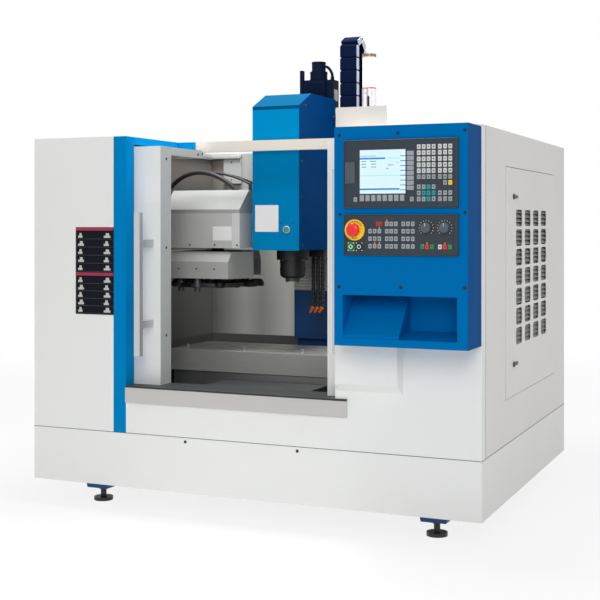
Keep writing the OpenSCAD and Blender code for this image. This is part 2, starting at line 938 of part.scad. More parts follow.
// A place across the units, from their left edge
function unit_at(x) = unit_x0 + across(x);

// The holes in the panels for stems and shafts
module panel_bores() {
    ya = op_y - unit_t - cut;
    l = unit_t + 2 * cut;
    along_y([unit_at(estop_x), ya, kp_z0 + estop_z], estop_stem_r + run_gap, l);
    for (kx = [feed_knob_x, speed_knob_x])
        along_y([unit_at(kx), ya, kp_z0 + knob_z], knob_shaft_r + shaft_gap, l);
    for (kx = [on_button_x, off_button_x])
        along_y([unit_at(kx), ya, kp_z0 + button_z], button_stem_r + run_gap, l);
}

module control_panels() {
    color("darkslategray") {
        difference() {
            block([unit_x0, op_y - unit_t, su_z0], [unit_x1, op_y, su_z1]);
            // seat of the flap beside the screen
            block([unit_at(flap_x), op_y - unit_t - cut, su_z0 + flap_z],
                [unit_at(flap_x) + flap_w, op_y - unit_t + flap_t / 2, su_z0 + flap_z + flap_h]);
        }
        difference() {
            block([unit_x0, op_y - unit_t, kp_z0], [unit_x1, op_y, kp_z1]);
            panel_bores();
        }
    }
}

module screen() {
    color("lightcyan")
    block([unit_at(screen_x), op_y - unit_t - screen_t, su_z0 + screen_z],
        [unit_at(screen_x + screen_w), op_y - unit_t, su_z0 + screen_z + screen_h]);
}

// A grid of keys on a panel face, from its lower left key
module key_grid(z0, h, block) {
    for (c = [0 : block[2] - 1], r = [0 : block[3] - 1])
        translate([unit_at(unit_w * (block[0] + c * block[4])) - cap_w / 2, op_y - unit_t - cap_t,
            z0 + h * (block[1] + r * block[5]) - cap_h / 2])
            cube([cap_w, cap_t, cap_h]);
}

module panel_keys() {
    color("silver") {
        for (block = screen_key_shares) key_grid(su_z0, screen_unit_h, block);
        for (block = key_panel_shares) key_grid(kp_z0, key_panel_h, block);
    }
}

module estop_ring() {
    color("gold")
    difference() {
        along_y([unit_at(estop_x), op_y - unit_t - ring_t, kp_z0 + estop_z], ring_out_r, ring_t);
        along_y([unit_at(estop_x), op_y - unit_t - ring_t - cut, kp_z0 + estop_z],
            estop_stem_r + run_gap, ring_t + 2 * cut);
    }
}

module estop_button() {
    yc = op_y - unit_t - ring_t - estop_out;
    color("red") {
        along_y([unit_at(estop_x), yc, kp_z0 + estop_z], estop_r, estop_cap_h);
        along_y([unit_at(estop_x), yc + estop_cap_h, kp_z0 + estop_z], estop_stem_r, estop_stem_l);
    }
}

// An override knob with a grip bar and its shaft
module knob(x) {
    yc = op_y - unit_t - knob_gap;
    zc = kp_z0 + knob_z;
    color("dimgray") {
        along_y([unit_at(x), yc - knob_h / 2, zc], knob_r, knob_h / 2);
        translate([unit_at(x) - knob_r / 4, yc - knob_h, zc - knob_r])
            cube([knob_r / 2, knob_h / 2, 2 * knob_r]);
        along_y([unit_at(x), yc, zc], knob_shaft_r, knob_shaft_l);
    }
}

module feed_knob() {
    knob(feed_knob_x);
}

module speed_knob() {
    knob(speed_knob_x);
}

module power_button(x) {
    yc = op_y - unit_t - button_out;
    along_y([unit_at(x), yc, kp_z0 + button_z], button_r, button_cap_h);
    along_y([unit_at(x), yc + button_cap_h, kp_z0 + button_z], button_stem_r,
        button_out + unit_t);
}

module power_on_button() {
    color("green") power_button(on_button_x);
}

module power_off_button() {
    color("black") power_button(off_button_x);
}

// Flap over the data ports, which turns on its left edge
module usb_flap() {
    xa = unit_at(flap_x);
    ya = op_y - unit_t + flap_t / 2 - run_gap;
    color("darkslategray")
    translate([0, 0, su_z0 + flap_z + run_gap]) {
        block([xa + flap_pin_r, ya - flap_t, 0],
            [xa + flap_w - run_gap, ya, flap_h - 2 * run_gap]);
        translate([xa + flap_pin_r + run_gap, ya - flap_pin_r, 0])
            cylinder(r = flap_pin_r, h = flap_h - 2 * run_gap);
    }
}

// Profile of the magazine's fixed housing, drawn in by a wall
function mag_profile(in) = let (ya = mag_front + in, yb = mag_front + mag_d - in,
    za = mag_z - (in > 0 ? cut : 0), zm = mag_z + mag_face_h - in / 2, zb = mag_z + mag_h - in)
    [[ya, za], [yb, za], [yb, zb], [mag_front + mag_bevel_d + in / 2, zb], [ya, zm]];

module magazine_housing() {
    rz = mag_z + rod_rise;
    color("silver") {
        difference() {
            along_x(mag_x0, mag_x1, mag_profile(0));
            along_x(mag_x0 + mag_wall, mag_x1 - mag_wall, mag_profile(mag_wall));
        }
        for (s = [-1, 1])
            across_x([mag_x0 + mag_wall / 2, spindle_y + s * rod_half, rz], rod_r, mag_l - mag_wall);
        // arm to the column
        block([spindle_x - col_w / 2 - mag_arm_w, mag_front + mag_d - mag_wall, mag_z + mag_arm_rise],
            [spindle_x - col_w / 2, col_front + mag_arm_in, mag_z + mag_arm_rise + mag_arm_h]);
    }
}

// Slide block on the two rods, with the neck that carries the lower cover
module magazine_carriage() {
    rz = mag_z + rod_rise;
    color("dimgray")
    difference() {
        union() {
            block([mag_x - slide_l / 2, spindle_y - slide_half, rz - slide_lift],
                [mag_x + slide_l / 2, spindle_y + slide_half, rz + slide_lift]);
            translate([mag_x, spindle_y, ring_z1])
                cylinder(r = slide_l / 2, h = rz - ring_z1);
        }
        for (s = [-1, 1])
            across_x([mag_x - slide_l / 2 - cut, spindle_y + s * rod_half, rz],
                rod_r + shaft_gap, slide_l + 2 * cut);
    }
}

// Outline of the lower cover, an oblong with its corners cut
module ring_outline(in) {
    h = ring_half - in;
    polygon([[-h, -h + ring_cut_y], [-h + ring_cut_x, -h], [h - ring_cut_x, -h],
        [h, -h + ring_cut_y], [h, h - ring_cut_y], [h - ring_cut_x, h],
        [-h + ring_cut_x, h], [-h, h - ring_cut_y]]);
}

module magazine_cover() {
    bevel = ring_bevel_h;
    color("silver")
    translate([mag_x, spindle_y, 0])
    difference() {
        union() {
            difference() {
                intersection() {
                    translate([0, 0, ring_z0]) linear_extrude(ring_h) ring_outline(0);
                    along_x(-ring_half, ring_half, [[-ring_half, ring_z0], [ring_half, ring_z0],
                        [ring_half, ring_z1 - bevel], [ring_half - bevel / 2, ring_z1],
                        [-ring_half + bevel / 2, ring_z1], [-ring_half, ring_z1 - bevel]]);
                }
                intersection() {
                    translate([0, 0, ring_z0 - cut]) linear_extrude(ring_h - mag_wall + cut)
                        ring_outline(mag_wall);
                    along_x(-ring_half, ring_half, [[-ring_half, ring_z0 - cut],
                        [ring_half, ring_z0 - cut], [ring_half - mag_wall, ring_z1 - bevel],
                        [ring_half - bevel / 2 - mag_wall, ring_z1],
                        [-ring_half + bevel / 2 + mag_wall, ring_z1],
                        [-ring_half + mag_wall, ring_z1 - bevel]]);
                }
            }
            translate([0, 0, ring_z1 - boss_h]) cylinder(r = boss_r, h = boss_h);
        }
        translate([0, 0, ring_z1 - boss_h - cut])
            cylinder(r = shaft_r + shaft_gap, h = shaft_in + 2 * cut);
        // way in for the spindle housing, open to the rear
        block([ring_slot_in, -ring_slot_half, ring_z0 - cut],
            [ring_half + cut, ring_half + cut, ring_z1 + cut]);
    }
}

module carousel() {
    color("dimgray")
    translate([mag_x, spindle_y, 0]) {
        difference() {
            translate([0, 0, plate_z0]) cylinder(r = plate_r, h = plate_h, $fn = 96);
            for (i = [0 : pockets - 1]) rotate(i * 360 / pockets)
                translate([tool_circle_r, 0, plate_z0 - cut])
                    cylinder(r = tool_flange_r + run_gap, h = plate_h + 2 * cut);
        }
        translate([0, 0, plate_z1]) cylinder(r = shaft_r, h = ring_z1 - boss_h + shaft_in - plate_z1);
        translate([0, 0, plate_z0 - foot_nut_h]) cylinder(r = neck_r, h = foot_nut_h);
    }
}

module tool_holder() {
    translate([0, 0, plate_z0 + flange_inset])
        cylinder(r = tool_flange_r, h = plate_h - 2 * flange_inset);
    translate([0, 0, plate_z1 - flange_inset])
        cylinder(r1 = taper_r, r2 = taper_small_r, h = holder_taper_h);
    translate([0, 0, plate_z1 - flange_inset + holder_taper_h])
        cylinder(r = holder_stud_r, h = holder_stud_h);
    translate([0, 0, plate_z0 + flange_inset - tool_body_h])
        cylinder(r = tool_body_r, h = tool_body_h);
}

module tool_holders() {
    color("silver")
    for (i = holder_slots) if (i < pockets)
        translate([mag_x, spindle_y, 0]) rotate(i * 360 / pockets)
            translate([tool_circle_r, 0, 0]) tool_holder();
}

// A tube through the points of a route, as one mesh of rings
module tube(route, r, sides = 8) {
    n = len(route);
    function unit(v) = v / norm(v);
    function way(i) = unit(route[min(i + 1, n - 1)] - route[max(i - 1, 0)]);
    function ring(i) = let (t = way(i), a = unit(cross(t, [0.13, 0.31, 0.94])), b = cross(t, a))
        [for (k = [0 : sides - 1]) route[i] + r * (cos(k * 360 / sides) * a
            + sin(k * 360 / sides) * b)];
    points = [for (i = [0 : n - 1]) each ring(i)];
    faces = [[for (k = [0 : sides - 1]) k],
        for (i = [0 : n - 2], k = [0 : sides - 1])
            [i * sides + k, (i + 1) * sides + k, (i + 1) * sides + (k + 1) % sides,
                i * sides + (k + 1) % sides],
        [for (k = [sides - 1 : -1 : 0]) (n - 1) * sides + k]];
    polyhedron(points, faces, convexity = 4);
}

// A smooth curve through four control points
function bezier(p, n) = [for (i = [0 : n]) let (t = i / n, u = 1 - t)
    u * u * u * p[0] + 3 * u * u * t * p[1] + 3 * u * t * t * p[2] + t * t * t * p[3]];

// Hoses that arch from the left guard to the top of the magazine
module magazine_hoses() {
    zt = mag_z + mag_h;
    color("black")
    for (i = [0 : len(hose_starts) - 1]) {
        a = [guard_x0, spindle_y, zt] + hose_starts[i];
        d = [mag_x1, spindle_y, zt] + hose_ends[i];
        tube(bezier([a, a + hose_first_bends[i], d + hose_last_bends[i], d], hose_steps), hose_rs[i]);
    }
}

module electrical_cabinet() {
    color("lightgray")
    difference() {
        block([elec_x0, y1, elec_z0], [elec_x1, elec_y1, elec_z1]);
        block([elec_x0 + sheet_t, y1 + sheet_t, elec_z0 + sheet_t],
            [elec_x1 - sheet_t, elec_y1 + cut, elec_z1 - sheet_t]);
    }
    color("lightgray")
    for (z = [elec_z0 + hinge_in, elec_z1 - hinge_in - hinge_l])
        translate([elec_x1 + hinge_out, elec_y1 + run_gap + hinge_r, z - bracket_t - run_gap]) {
            cylinder(r = hinge_r, h = bracket_t);
            block([-hinge_r, -hinge_r - 2 * bracket_t, 0], [hinge_r, 0, bracket_t]);
            block([-hinge_out, -hinge_r - 2 * bracket_t, 0], [0, -hinge_r - 2 * run_gap, bracket_t]);
            cylinder(r = hinge_pin_r, h = hinge_l + bracket_t);
        }
}

// Door that covers the rear of the cabinet, with knuckles on its right edge
module cabinet_door() {
    ya = elec_y1 + run_gap;
    sx = elec_x0 + switch_from_edge;
    sz = elec_z1 - switch_in;
    color("whitesmoke")
    difference() {
        block([elec_x0, ya, elec_z0], [elec_x1, ya + elec_door_t, elec_z1]);
        block([elec_x0 + sheet_t, ya - cut, elec_z0 + sheet_t],
            [elec_x1 - sheet_t, ya + elec_door_t - sheet_t, elec_z1 - sheet_t]);
        along_y([sx, ya, sz], switch_shaft_r + shaft_gap, elec_door_t + cut);
    }
    color("whitesmoke")
    for (z = [elec_z0 + hinge_in, elec_z1 - hinge_in - hinge_l])
        translate([elec_x1 + hinge_out, ya + hinge_r, z]) difference() {
            union() {
                cylinder(r = hinge_r, h = hinge_l);
                translate([-hinge_out, -hinge_r, 0]) cube([hinge_out, hinge_r, hinge_l]);
            }
            translate([0, 0, -cut]) cylinder(r = hinge_pin_r + shaft_gap, h = hinge_l + 2 * cut);
        }
}

module main_switch() {
    ya = elec_y1 + run_gap + elec_door_t;
    sx = elec_x0 + switch_from_edge;
    sz = elec_z1 - switch_in;
    color("red") {
        along_y([sx, ya + run_gap, sz], switch_r, switch_h / 3);
        translate([sx - switch_r, ya + run_gap, sz - switch_r / 4])
            cube([2 * switch_r, switch_h, switch_r / 2]);
        along_y([sx, ya - switch_shaft_l, sz], switch_shaft_r, switch_shaft_l + run_gap);
    }
}

// Energy chain: two upright legs joined by a half ring on top
module drag_chain() {
    zc = nose_z + chain_top_over_nose - chain_bend_r;
    yc = chain_front + chain_bend_r;
    inner = chain_bend_r - chain_t;
    color("black")
    translate([chain_x0, 0, 0]) rotate([90, 0, 90]) linear_extrude(chain_w) {
        difference() {
            translate([yc, zc]) circle(chain_bend_r);
            translate([yc, zc]) circle(inner);
            translate([yc - 2 * chain_bend_r, zc - 4 * chain_bend_r])
                square([4 * chain_bend_r, 4 * chain_bend_r]);
        }
        translate([chain_front, nose_z + chain_front_foot])
            square([chain_t, zc - nose_z - chain_front_foot]);
        translate([chain_front + 2 * chain_bend_r - chain_t, nose_z + chain_back_foot])
            square([chain_t, zc - nose_z - chain_back_foot]);
    }
}

// Cover between the column's foot and the head, which folds as the head moves
module z_bellows() {
    color("gray")
    block([spindle_x - col_foot_w / 2, cast_back + seam, head_rail_z0],
        [spindle_x + col_foot_w / 2, cast_back + seam + bellows_t, head_car_z0]);
}

// Covers of the lower guides, which fold in front of and behind the saddle
module y_bellows() {
    w = y_rail_half + carriage_w;
    h = guide_stack + saddle_h / 2;
    sy0 = spindle_y - table_w / 2 + saddle_inset;
    sy1 = spindle_y + table_w / 2 - saddle_inset;
    spans = [[rib_y0 + seam, sy0], [sy1, col_front]];
    color("dimgray")
    for (s = spans) difference() {
        block([spindle_x - w, s[0], bed_top], [spindle_x + w, s[1], bed_top + h]);
        block([spindle_x - w + bracket_t, s[0] - cut, bed_top - cut],
            [spindle_x + w - bracket_t, s[1] + cut, bed_top + h - bracket_t]);
    }
}

module side_door() {
    xa = x1 + side_door_out - side_door_t;
    xb = x1 + side_door_out;
    color("lightgray")
    difference() {
        block([xa, side_y0, side_z0], [xb, side_y1, side_z1]);
        block([xa - cut, side_y0 + sheet_t, side_z0 + sheet_t],
            [xb - sheet_t, side_y1 - sheet_t, side_z1 - sheet_t]);
        translate([xb - sheet_t - cut, side_y0 + vent_front, side_z0 + vent_rise])
            vent_holes(sheet_t + 2 * cut);
        translate([x1 - pivot_x, side_y1 - pivot_y, side_z0 - cut])
            cylinder(r = pivot_r + shaft_gap, h = side_door_h + 2 * cut);
        for (z = [side_z0 + latch_low, side_z1 - latch_high])
            across_x([xb - sheet_t - cut, side_y0 + latch_in, z], latch_stem_r + shaft_gap,
                sheet_t + 2 * cut);
    }
}

// Lever latch: round head, lever, and a stem with a cam inside the door
module latch(z) {
    xb = x1 + side_door_out;
    color("black")
    translate([xb, side_y0 + latch_in, z]) {
        across_x([run_gap, 0, 0], latch_r, latch_t);
        translate([run_gap, 0, -latch_arm_w / 2]) cube([latch_t, latch_arm_l, latch_arm_w]);
        across_x([-side_door_t + sheet_t, 0, 0], latch_stem_r, side_door_t - sheet_t + run_gap);
        translate([-side_door_t + sheet_t, -latch_arm_w / 2, -latch_arm_w / 2])
            cube([sheet_t, 2 * latch_arm_w, latch_arm_w]);
    }
}

module upper_latch() {
    latch(side_z1 - latch_high);
}

module lower_latch() {
    latch(side_z0 + latch_low);
}

// A left door with its meeting edge at X = 0 and its lower front corner at the origin
module door_shell() {
    wx = -window_in - pane_w;
    rim = window_rim;
    lap = window_lap;
    difference() {
        union() {
            difference() {
                block([-leaf_w, 0, 0], [0, door_panel_t, door_h]);
                block([-leaf_w + sheet_t, sheet_t, sheet_t],
                    [-door_end_t, door_panel_t + cut, door_h - door_rail_h]);
            }
            block([wx - rim, sheet_t / 2, window_rise - rim],
                [wx + pane_w + rim, door_panel_t, window_rise + window_h + rim]);
            block([-door_end_t, 0, 0], [0, door_stile_d, door_h]);
            block([-door_end_t, 0, door_h - door_rail_h], [0, roof_d, door_h]);
            block([-leaf_w, 0, door_h - sheet_t], [0, roof_d, door_h]);
            block([-leaf_w, roof_d - sheet_t, door_h - door_rail_h], [0, roof_d, door_h]);
        }
        block([wx, -cut, window_rise], [wx + pane_w, door_panel_t + cut, window_rise + window_h]);
        block([wx - lap, sheet_t, window_rise - lap],
            [wx + pane_w + lap, sheet_t + glass_t, window_rise + window_h + lap]);
    }
}

module door_glass() {
    wx = -window_in - pane_w;
    lap = window_lap;
    block([wx - lap, sheet_t, window_rise - lap],
        [wx + pane_w + lap, sheet_t + glass_t, window_rise + window_h + lap]);
}

module door_handle() {
    hx = -handle_in - handle_w / 2;
    block([hx, -handle_out - handle_t, handle_rise],
        [hx + handle_w, -handle_out, handle_rise + handle_l]);
    for (z = [handle_rise + handle_post_in, handle_rise + handle_l - handle_post_in])
        block([-handle_in - handle_post_w / 2, -handle_out, z - handle_post_r],
            [-handle_in + handle_post_w / 2, 0, z + handle_post_r]);
}

// A folded strip whose lip leaves a groove for the fingers
module door_pull() {
    block([-pull_in - sheet_t, -pull_out, pull_rise], [-pull_in, 0, pull_rise + pull_l]);
    block([-pull_in - pull_w, -pull_out, pull_rise], [-pull_in, sheet_t - pull_out, pull_rise + pull_l]);
}

module at_left_door() {
    translate([left_door_x, door_y, z_sill + run_gap]) children();
}

module at_right_door() {
    translate([right_door_x, door_y, z_sill + run_gap]) mirror([1, 0, 0]) children();
}

module left_door() {
    color("whitesmoke") at_left_door() door_shell();
}

module left_window() {
    color("lightblue", 0.4) at_left_door() door_glass();
}

module left_handle() {
    color("silver") at_left_door() door_handle();
}

module right_door() {
    color("whitesmoke") at_right_door() door_shell();
}

module right_window() {
    color("lightblue", 0.4) at_right_door() door_glass();
}

module right_handle() {
    color("silver") at_right_door() door_pull();
}

// Cross slide with its lower carriages, upper guides, screw and motor
module saddle() {
    sy0 = spindle_y - table_w / 2 + saddle_inset;
    sy1 = spindle_y + table_w / 2 - saddle_inset;
    sx0 = spindle_x - across(saddle_l) / 2;
    sx1 = spindle_x + across(saddle_l) / 2;
    mw = cross_motor_w;
    color("slategray") {
        block([sx0, sy0, saddle_z], [sx1, sy1, saddle_top]);
        for (s = [-1, 1], t = [-1, 1])
            translate([spindle_x + s * y_rail_half, spindle_y + t * saddle_reach, bed_top]) carriage_y();
        difference() {
            block([spindle_x - nut_half, spindle_y - nut_l / 2, bed_top + run_gap],
                [spindle_x + nut_half, spindle_y + nut_l / 2, saddle_z]);
            along_y([spindle_x, spindle_y - nut_l / 2 - cut, bed_top + screw_rise],
                screw_r + run_gap, nut_l + 2 * cut);
        }
        for (s = [-1, 1])
            block([sx0, spindle_y + s * x_rail_half - rail_w / 2, saddle_top],
                [sx1, spindle_y + s * x_rail_half + rail_w / 2, saddle_top + rail_h]);
        across_x([sx0, spindle_y, saddle_top + screw_rise], screw_r, sx1 - sx0);
        for (px = [sx0, sx1 - bearing_l])
            block([px, spindle_y - nut_half, saddle_top],
                [px + bearing_l, spindle_y + nut_half, saddle_top + guide_stack - carriage_lift]);
        block([sx1, spindle_y - mw / 2, saddle_top + guide_stack - carriage_lift - mw],
            [sx1 + cross_motor_l, spindle_y + mw / 2, saddle_top + guide_stack - carriage_lift]);
    }
}

module table() {
    tx0 = table_x - across(table_l) / 2;
    tx1 = table_x + across(table_l) / 2;
    ty0 = spindle_y - table_w / 2;
    ty1 = spindle_y + table_w / 2;
    color("darkgray") {
        difference() {
            block([tx0, ty0, table_z], [tx1, ty1, table_top]);
            for (i = [0 : slot_count - 1]) {
                sy = spindle_y + (i - (slot_count - 1) / 2) * slot_pitch;
                block([tx0 - cut, sy - slot_w / 2, table_top - slot_depth],
                    [tx1 + cut, sy + slot_w / 2, table_top + cut]);
                block([tx0 - cut, sy - slot_under_w / 2, table_top - slot_depth],
                    [tx1 + cut, sy + slot_under_w / 2, table_top - slot_depth + slot_under_h]);
            }
        }
        for (y = [ty0, ty1 - skirt_t])
            block([tx0, y, saddle_top + skirt_gap], [tx1, y + skirt_t, table_z]);
        for (s = [-1, 1], t = [-1, 1])
            translate([table_x + s * table_reach, spindle_y + t * x_rail_half, saddle_top])
                rotate(90) carriage_y();
        difference() {
            block([table_x - nut_l / 2, spindle_y - nut_half, saddle_top + run_gap],
                [table_x + nut_l / 2, spindle_y + nut_half, table_z]);
            across_x([table_x - nut_l / 2 - cut, spindle_y, saddle_top + screw_rise],
                screw_r + run_gap, nut_l + 2 * cut);
        }
    }
}

// Head with its carriages, motor shelf and fixed spindle housing
module head_casting() {
    hw = head_w / 2 - sheet_t;
    sleeve = nose_r + shaft_gap;
    color("dimgray")
    difference() {
        union() {
            block([spindle_x - hw, head_front + cast_front, head_z],
                [spindle_x + hw, cast_back, head_z + cast_h - cast_step_h]);
            block([spindle_x - hw, spindle_y + housing_r, head_z],
                [spindle_x + hw, cast_back, head_z + cast_h]);
            block([spindle_x - hw, spindle_y + housing_r, head_z + cast_h],
                [spindle_x + hw, cast_back, head_z + cast_h + motor_shelf_t]);
            translate([spindle_x, spindle_y, head_z - flange_h]) cylinder(r = flange_r, h = flange_h);
            translate([spindle_x, spindle_y, nose_z + nose_h]) cylinder(r = housing_r, h = housing_h);
            for (s = [-1, 1], z = [head_car_z0, head_car_z1])
                translate([spindle_x + s * z_rail_half, col_front, z + carriage_l / 2])
                    rotate([90, 0, 0]) carriage_y();
            block([spindle_x - nut_half, cast_back, head_car_z0 + nut_l],
                [spindle_x + nut_half, col_front - run_gap, head_car_z0 + 2 * nut_l]);
            // arm to the chain's moving leg
            block([spindle_x + hw - bracket_t, chain_front, nose_z + chain_front_foot - bracket_t],
                [chain_x0 + chain_w, chain_front + chain_t, nose_z + chain_front_foot]);
            block([spindle_x + hw - bracket_t, chain_front, head_z + cast_h],
                [spindle_x + hw, chain_front + chain_t, nose_z + chain_front_foot]);
        }
        translate([spindle_x, spindle_y, nose_z + nose_h - cut])
            cylinder(r = sleeve, h = spindle_top_h + cut);
        translate([spindle_x, col_front - screw_rise, head_car_z0])
            cylinder(r = screw_r - sheet_t + run_gap, h = 4 * nut_l);
    }
}

// Sheet cover round the front, sides and top of the head
module head_cover() {
    z1 = head_z + head_front_h;
    z2 = z1 + head_crown_h;
    yb = head_front + deep(head_d);
    t = sheet_t;
    color("steelblue")
    difference() {
        along_x(head_x0, head_x1, [[head_front, head_z], [yb, head_z], [yb, z2],
            [head_front + head_slope_d, z2], [head_front, z1]]);
        along_x(head_x0 + t, head_x1 - t, [[head_front + t, head_z - cut], [yb + cut, head_z - cut],
            [yb + cut, z2 - t], [head_front + head_slope_d, z2 - t], [head_front + t, z1 - t / 2]]);
    }
}

module spindle_motor() {
    hw = motor_w / 2;
    zb = motor_z + motor_body_h;
    color("black") {
        block([spindle_x - hw, motor_y - hw, motor_z], [spindle_x + hw, motor_y + hw, zb]);
        translate([spindle_x, motor_y, zb]) cylinder(r = motor_drum_r, h = motor_drum_h);
        translate([spindle_x, motor_y, zb + motor_drum_h]) cylinder(r = motor_cap_r, h = motor_cap_h);
        block([spindle_x + hw, motor_y - motor_box_w, zb - motor_box_h],
            [spindle_x + hw + motor_box_w, motor_y + motor_box_w, zb]);
    }
}

// Turning spindle with its tapered bore and two drive keys
module spindle() {
    color("silver")
    translate([spindle_x, spindle_y, nose_z])
    difference() {
        union() {
            cylinder(r = nose_r, h = nose_h + spindle_top_h - seam);
            for (s = [-1, 1])
                translate([s * key_in - key_w / 4, -key_w / 2, -key_h])
                    cube([key_w / 2, key_w, key_h]);
        }
        translate([0, 0, -run_gap]) cylinder(r1 = taper_r, r2 = taper_small_r, h = taper_h);
        cylinder(r = drawbar_r, h = nose_h + spindle_top_h + cut);
    }
}

// Block under the head with the jointed hoses that hang from it
module coolant_hoses() {
    mx = head_x1 - manifold_w / 2 - manifold_right + sheet_t;
    my = spindle_y + manifold_behind;
    color("black") {
        block([mx - manifold_w / 2, my - manifold_d / 2, head_z - manifold_h],
            [mx + manifold_w / 2, my + manifold_d / 2, head_z]);
        for (i = [0 : hose_count - 1])
            translate([mx + (i - 1) * hose_pitch, my, head_z - manifold_h - hose_len])
                cylinder(r = hose_r, h = hose_len, $fn = 24);
    }
}

module coolant_nozzles() {
    mx = head_x1 - manifold_w / 2 - manifold_right + sheet_t;
    my = spindle_y + manifold_behind;
    color("orange")
    for (i = [0 : hose_count - 1])
        translate([mx + (i - 1) * hose_pitch, my, head_z - manifold_h - hose_len - nozzle_l])
            cylinder(r1 = nozzle_tip_r, r2 = nozzle_r, h = nozzle_l, $fn = 24);
}

levelling_feet();
machine_bed();
base_tray();
column();
guideways();
axis_motors();
left_front();
left_frame();
front_apron();
sill();
right_front();
operator_cabinet();
left_side_panel();
right_side_panel();
rear_panel();
top_covers();
crossbeam();
roof_box();
lamp_base();
lamp_lens();
inner_guards();
control_panels();
screen();
panel_keys();
estop_ring();
magazine_housing();
magazine_hoses();
electrical_cabinet();
drag_chain();
z_bellows();
y_bellows();
usb_flap();
estop_button();
feed_knob();
speed_knob();
power_on_button();
power_off_button();
side_door();
upper_latch();
lower_latch();
left_door();
left_window();
left_handle();
right_door();
right_window();
right_handle();
cabinet_door();
main_switch();
saddle();
table();
head_casting();
head_cover();
spindle_motor();
spindle();
coolant_hoses();
coolant_nozzles();
magazine_carriage();
magazine_cover();
carousel();
tool_holders();
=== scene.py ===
"""Looks of a vertical machining centre: finishes, small parts and the studio round it."""

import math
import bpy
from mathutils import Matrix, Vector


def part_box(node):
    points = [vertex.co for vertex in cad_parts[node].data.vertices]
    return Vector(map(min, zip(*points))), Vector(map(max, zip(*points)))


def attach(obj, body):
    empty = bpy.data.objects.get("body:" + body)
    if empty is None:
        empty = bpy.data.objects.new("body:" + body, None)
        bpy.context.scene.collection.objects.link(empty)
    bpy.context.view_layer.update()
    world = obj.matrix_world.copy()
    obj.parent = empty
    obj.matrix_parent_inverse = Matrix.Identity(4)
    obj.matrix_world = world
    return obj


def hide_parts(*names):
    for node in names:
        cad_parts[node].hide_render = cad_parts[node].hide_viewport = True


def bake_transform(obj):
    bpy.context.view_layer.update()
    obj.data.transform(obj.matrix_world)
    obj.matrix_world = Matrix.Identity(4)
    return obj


bl_info = {
    "name": "Machining Centre Looks",
    "version": (1, 0, 0),
    "blender": (4, 5, 0),
    "location": "3D View > Sidebar > Machining Centre",
    "description": "Finishes, controls, covers and hoses of a vertical machining centre",
    "category": "Object",
}

import bmesh
import bpy
from mathutils import Matrix, Vector

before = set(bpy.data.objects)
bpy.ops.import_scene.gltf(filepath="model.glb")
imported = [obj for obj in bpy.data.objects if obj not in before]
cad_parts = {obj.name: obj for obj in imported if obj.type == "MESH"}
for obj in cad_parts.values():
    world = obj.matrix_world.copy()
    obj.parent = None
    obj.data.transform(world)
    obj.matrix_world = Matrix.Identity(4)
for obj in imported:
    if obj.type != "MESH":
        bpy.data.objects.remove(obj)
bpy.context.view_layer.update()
CORNER = Vector(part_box("base_tray")[0])
X, Y, Z = Vector((1, 0, 0)), Vector((0, 1, 0)), Vector((0, 0, 1))


def tone(red, green, blue):
    """A colour given as screen values from 0 to 255, as the shaders want it."""
    values = [c / 255 for c in (red, green, blue)]
    return tuple(c / 12.92 if c <= 0.04045 else ((c + 0.055) / 1.055) ** 2.4 for c in values)


def at(x, y, z):
    """A place in millimetres: from the left side, from the front sheets, over the floor."""
    return Vector((CORNER.x + x / 1000, CORNER.y + y / 1000, z / 1000))


def colour(label, text, red, green, blue):
    """A colour that a user can change."""
    return bpy.props.FloatVectorProperty(
        name=label, description=text, subtype="COLOR", size=3, min=0, max=1,
        default=tone(red, green, blue),
    )


def length(label, text, millimetres):
    """A length that a user can change, kept in metres."""
    return bpy.props.FloatProperty(
        name=label, description=text, unit="LENGTH", min=0.0001, max=1,
        default=millimetres / 1000,
    )


class CentreColours(bpy.types.PropertyGroup):
    """Colours of the sheets, castings and controls."""

    white: colour("White sheet", "Paint of the front sheets, the tray and the doors", 232, 233, 231)
    side: colour("Side sheet", "Paint of the side and rear panels", 224, 222, 221)
    cabinet_blue: colour("Cabinet blue", "Paint of the operator cabinet", 0, 108, 176)
    frame_blue: colour("Frame blue", "Paint of the strip beside the opening", 0, 128, 192)
    head_blue: colour("Head blue", "Paint of the head cover", 0, 128, 184)
    casting_blue: colour("Casting blue", "Paint of the bed and the column", 8, 70, 128)
    cream: colour("Cream", "Paint of the cross beam and the roof box", 222, 215, 204)
    sill: colour("Sill grey", "Paint of the door sill", 196, 194, 193)
    guard: colour("Guard", "Brushed sheet of the inner guards", 176, 177, 170)
    unit: colour("Control unit", "Face of the screen unit and the key panel", 46, 56, 64)
    key: colour("Key", "Most keys of the panels", 150, 156, 160)
    pale_key: colour("Pale key", "Letter and number keys", 205, 206, 204)
    teal: colour("Cursor key", "Cursor keys", 0, 150, 156)
    yellow: colour("Yellow", "Ring round the emergency stop and the enter key", 250, 205, 20)
    red: colour("Red", "Emergency stop and stop keys", 236, 12, 18)
    green: colour("Green", "Start keys and the power button", 0, 138, 66)
    silver: colour("Silver", "Magazine covers and handles", 186, 187, 184)
    navy: colour("Notice board", "Ground of the plain notice board", 12, 12, 24)


class CentreSizes(bpy.types.PropertyGroup):
    """Sizes of the small parts."""

    key_width: length("Key width", "Width of one key", 15.5)
    key_height: length("Key height", "Height of one key", 18.5)
    key_rise: length("Key rise", "How far a key stands out of its panel", 2)
    screw: length("Screw", "Radius of a panel screw's head", 7)
    fold: length("Fold", "Depth of a fold of the bellows", 10)
    folds: bpy.props.IntProperty(name="Folds", description="Folds of one bellows", default=16, min=4, max=40)
    links: bpy.props.IntProperty(name="Links", description="Links of the drag chain", default=20, min=12, max=60)


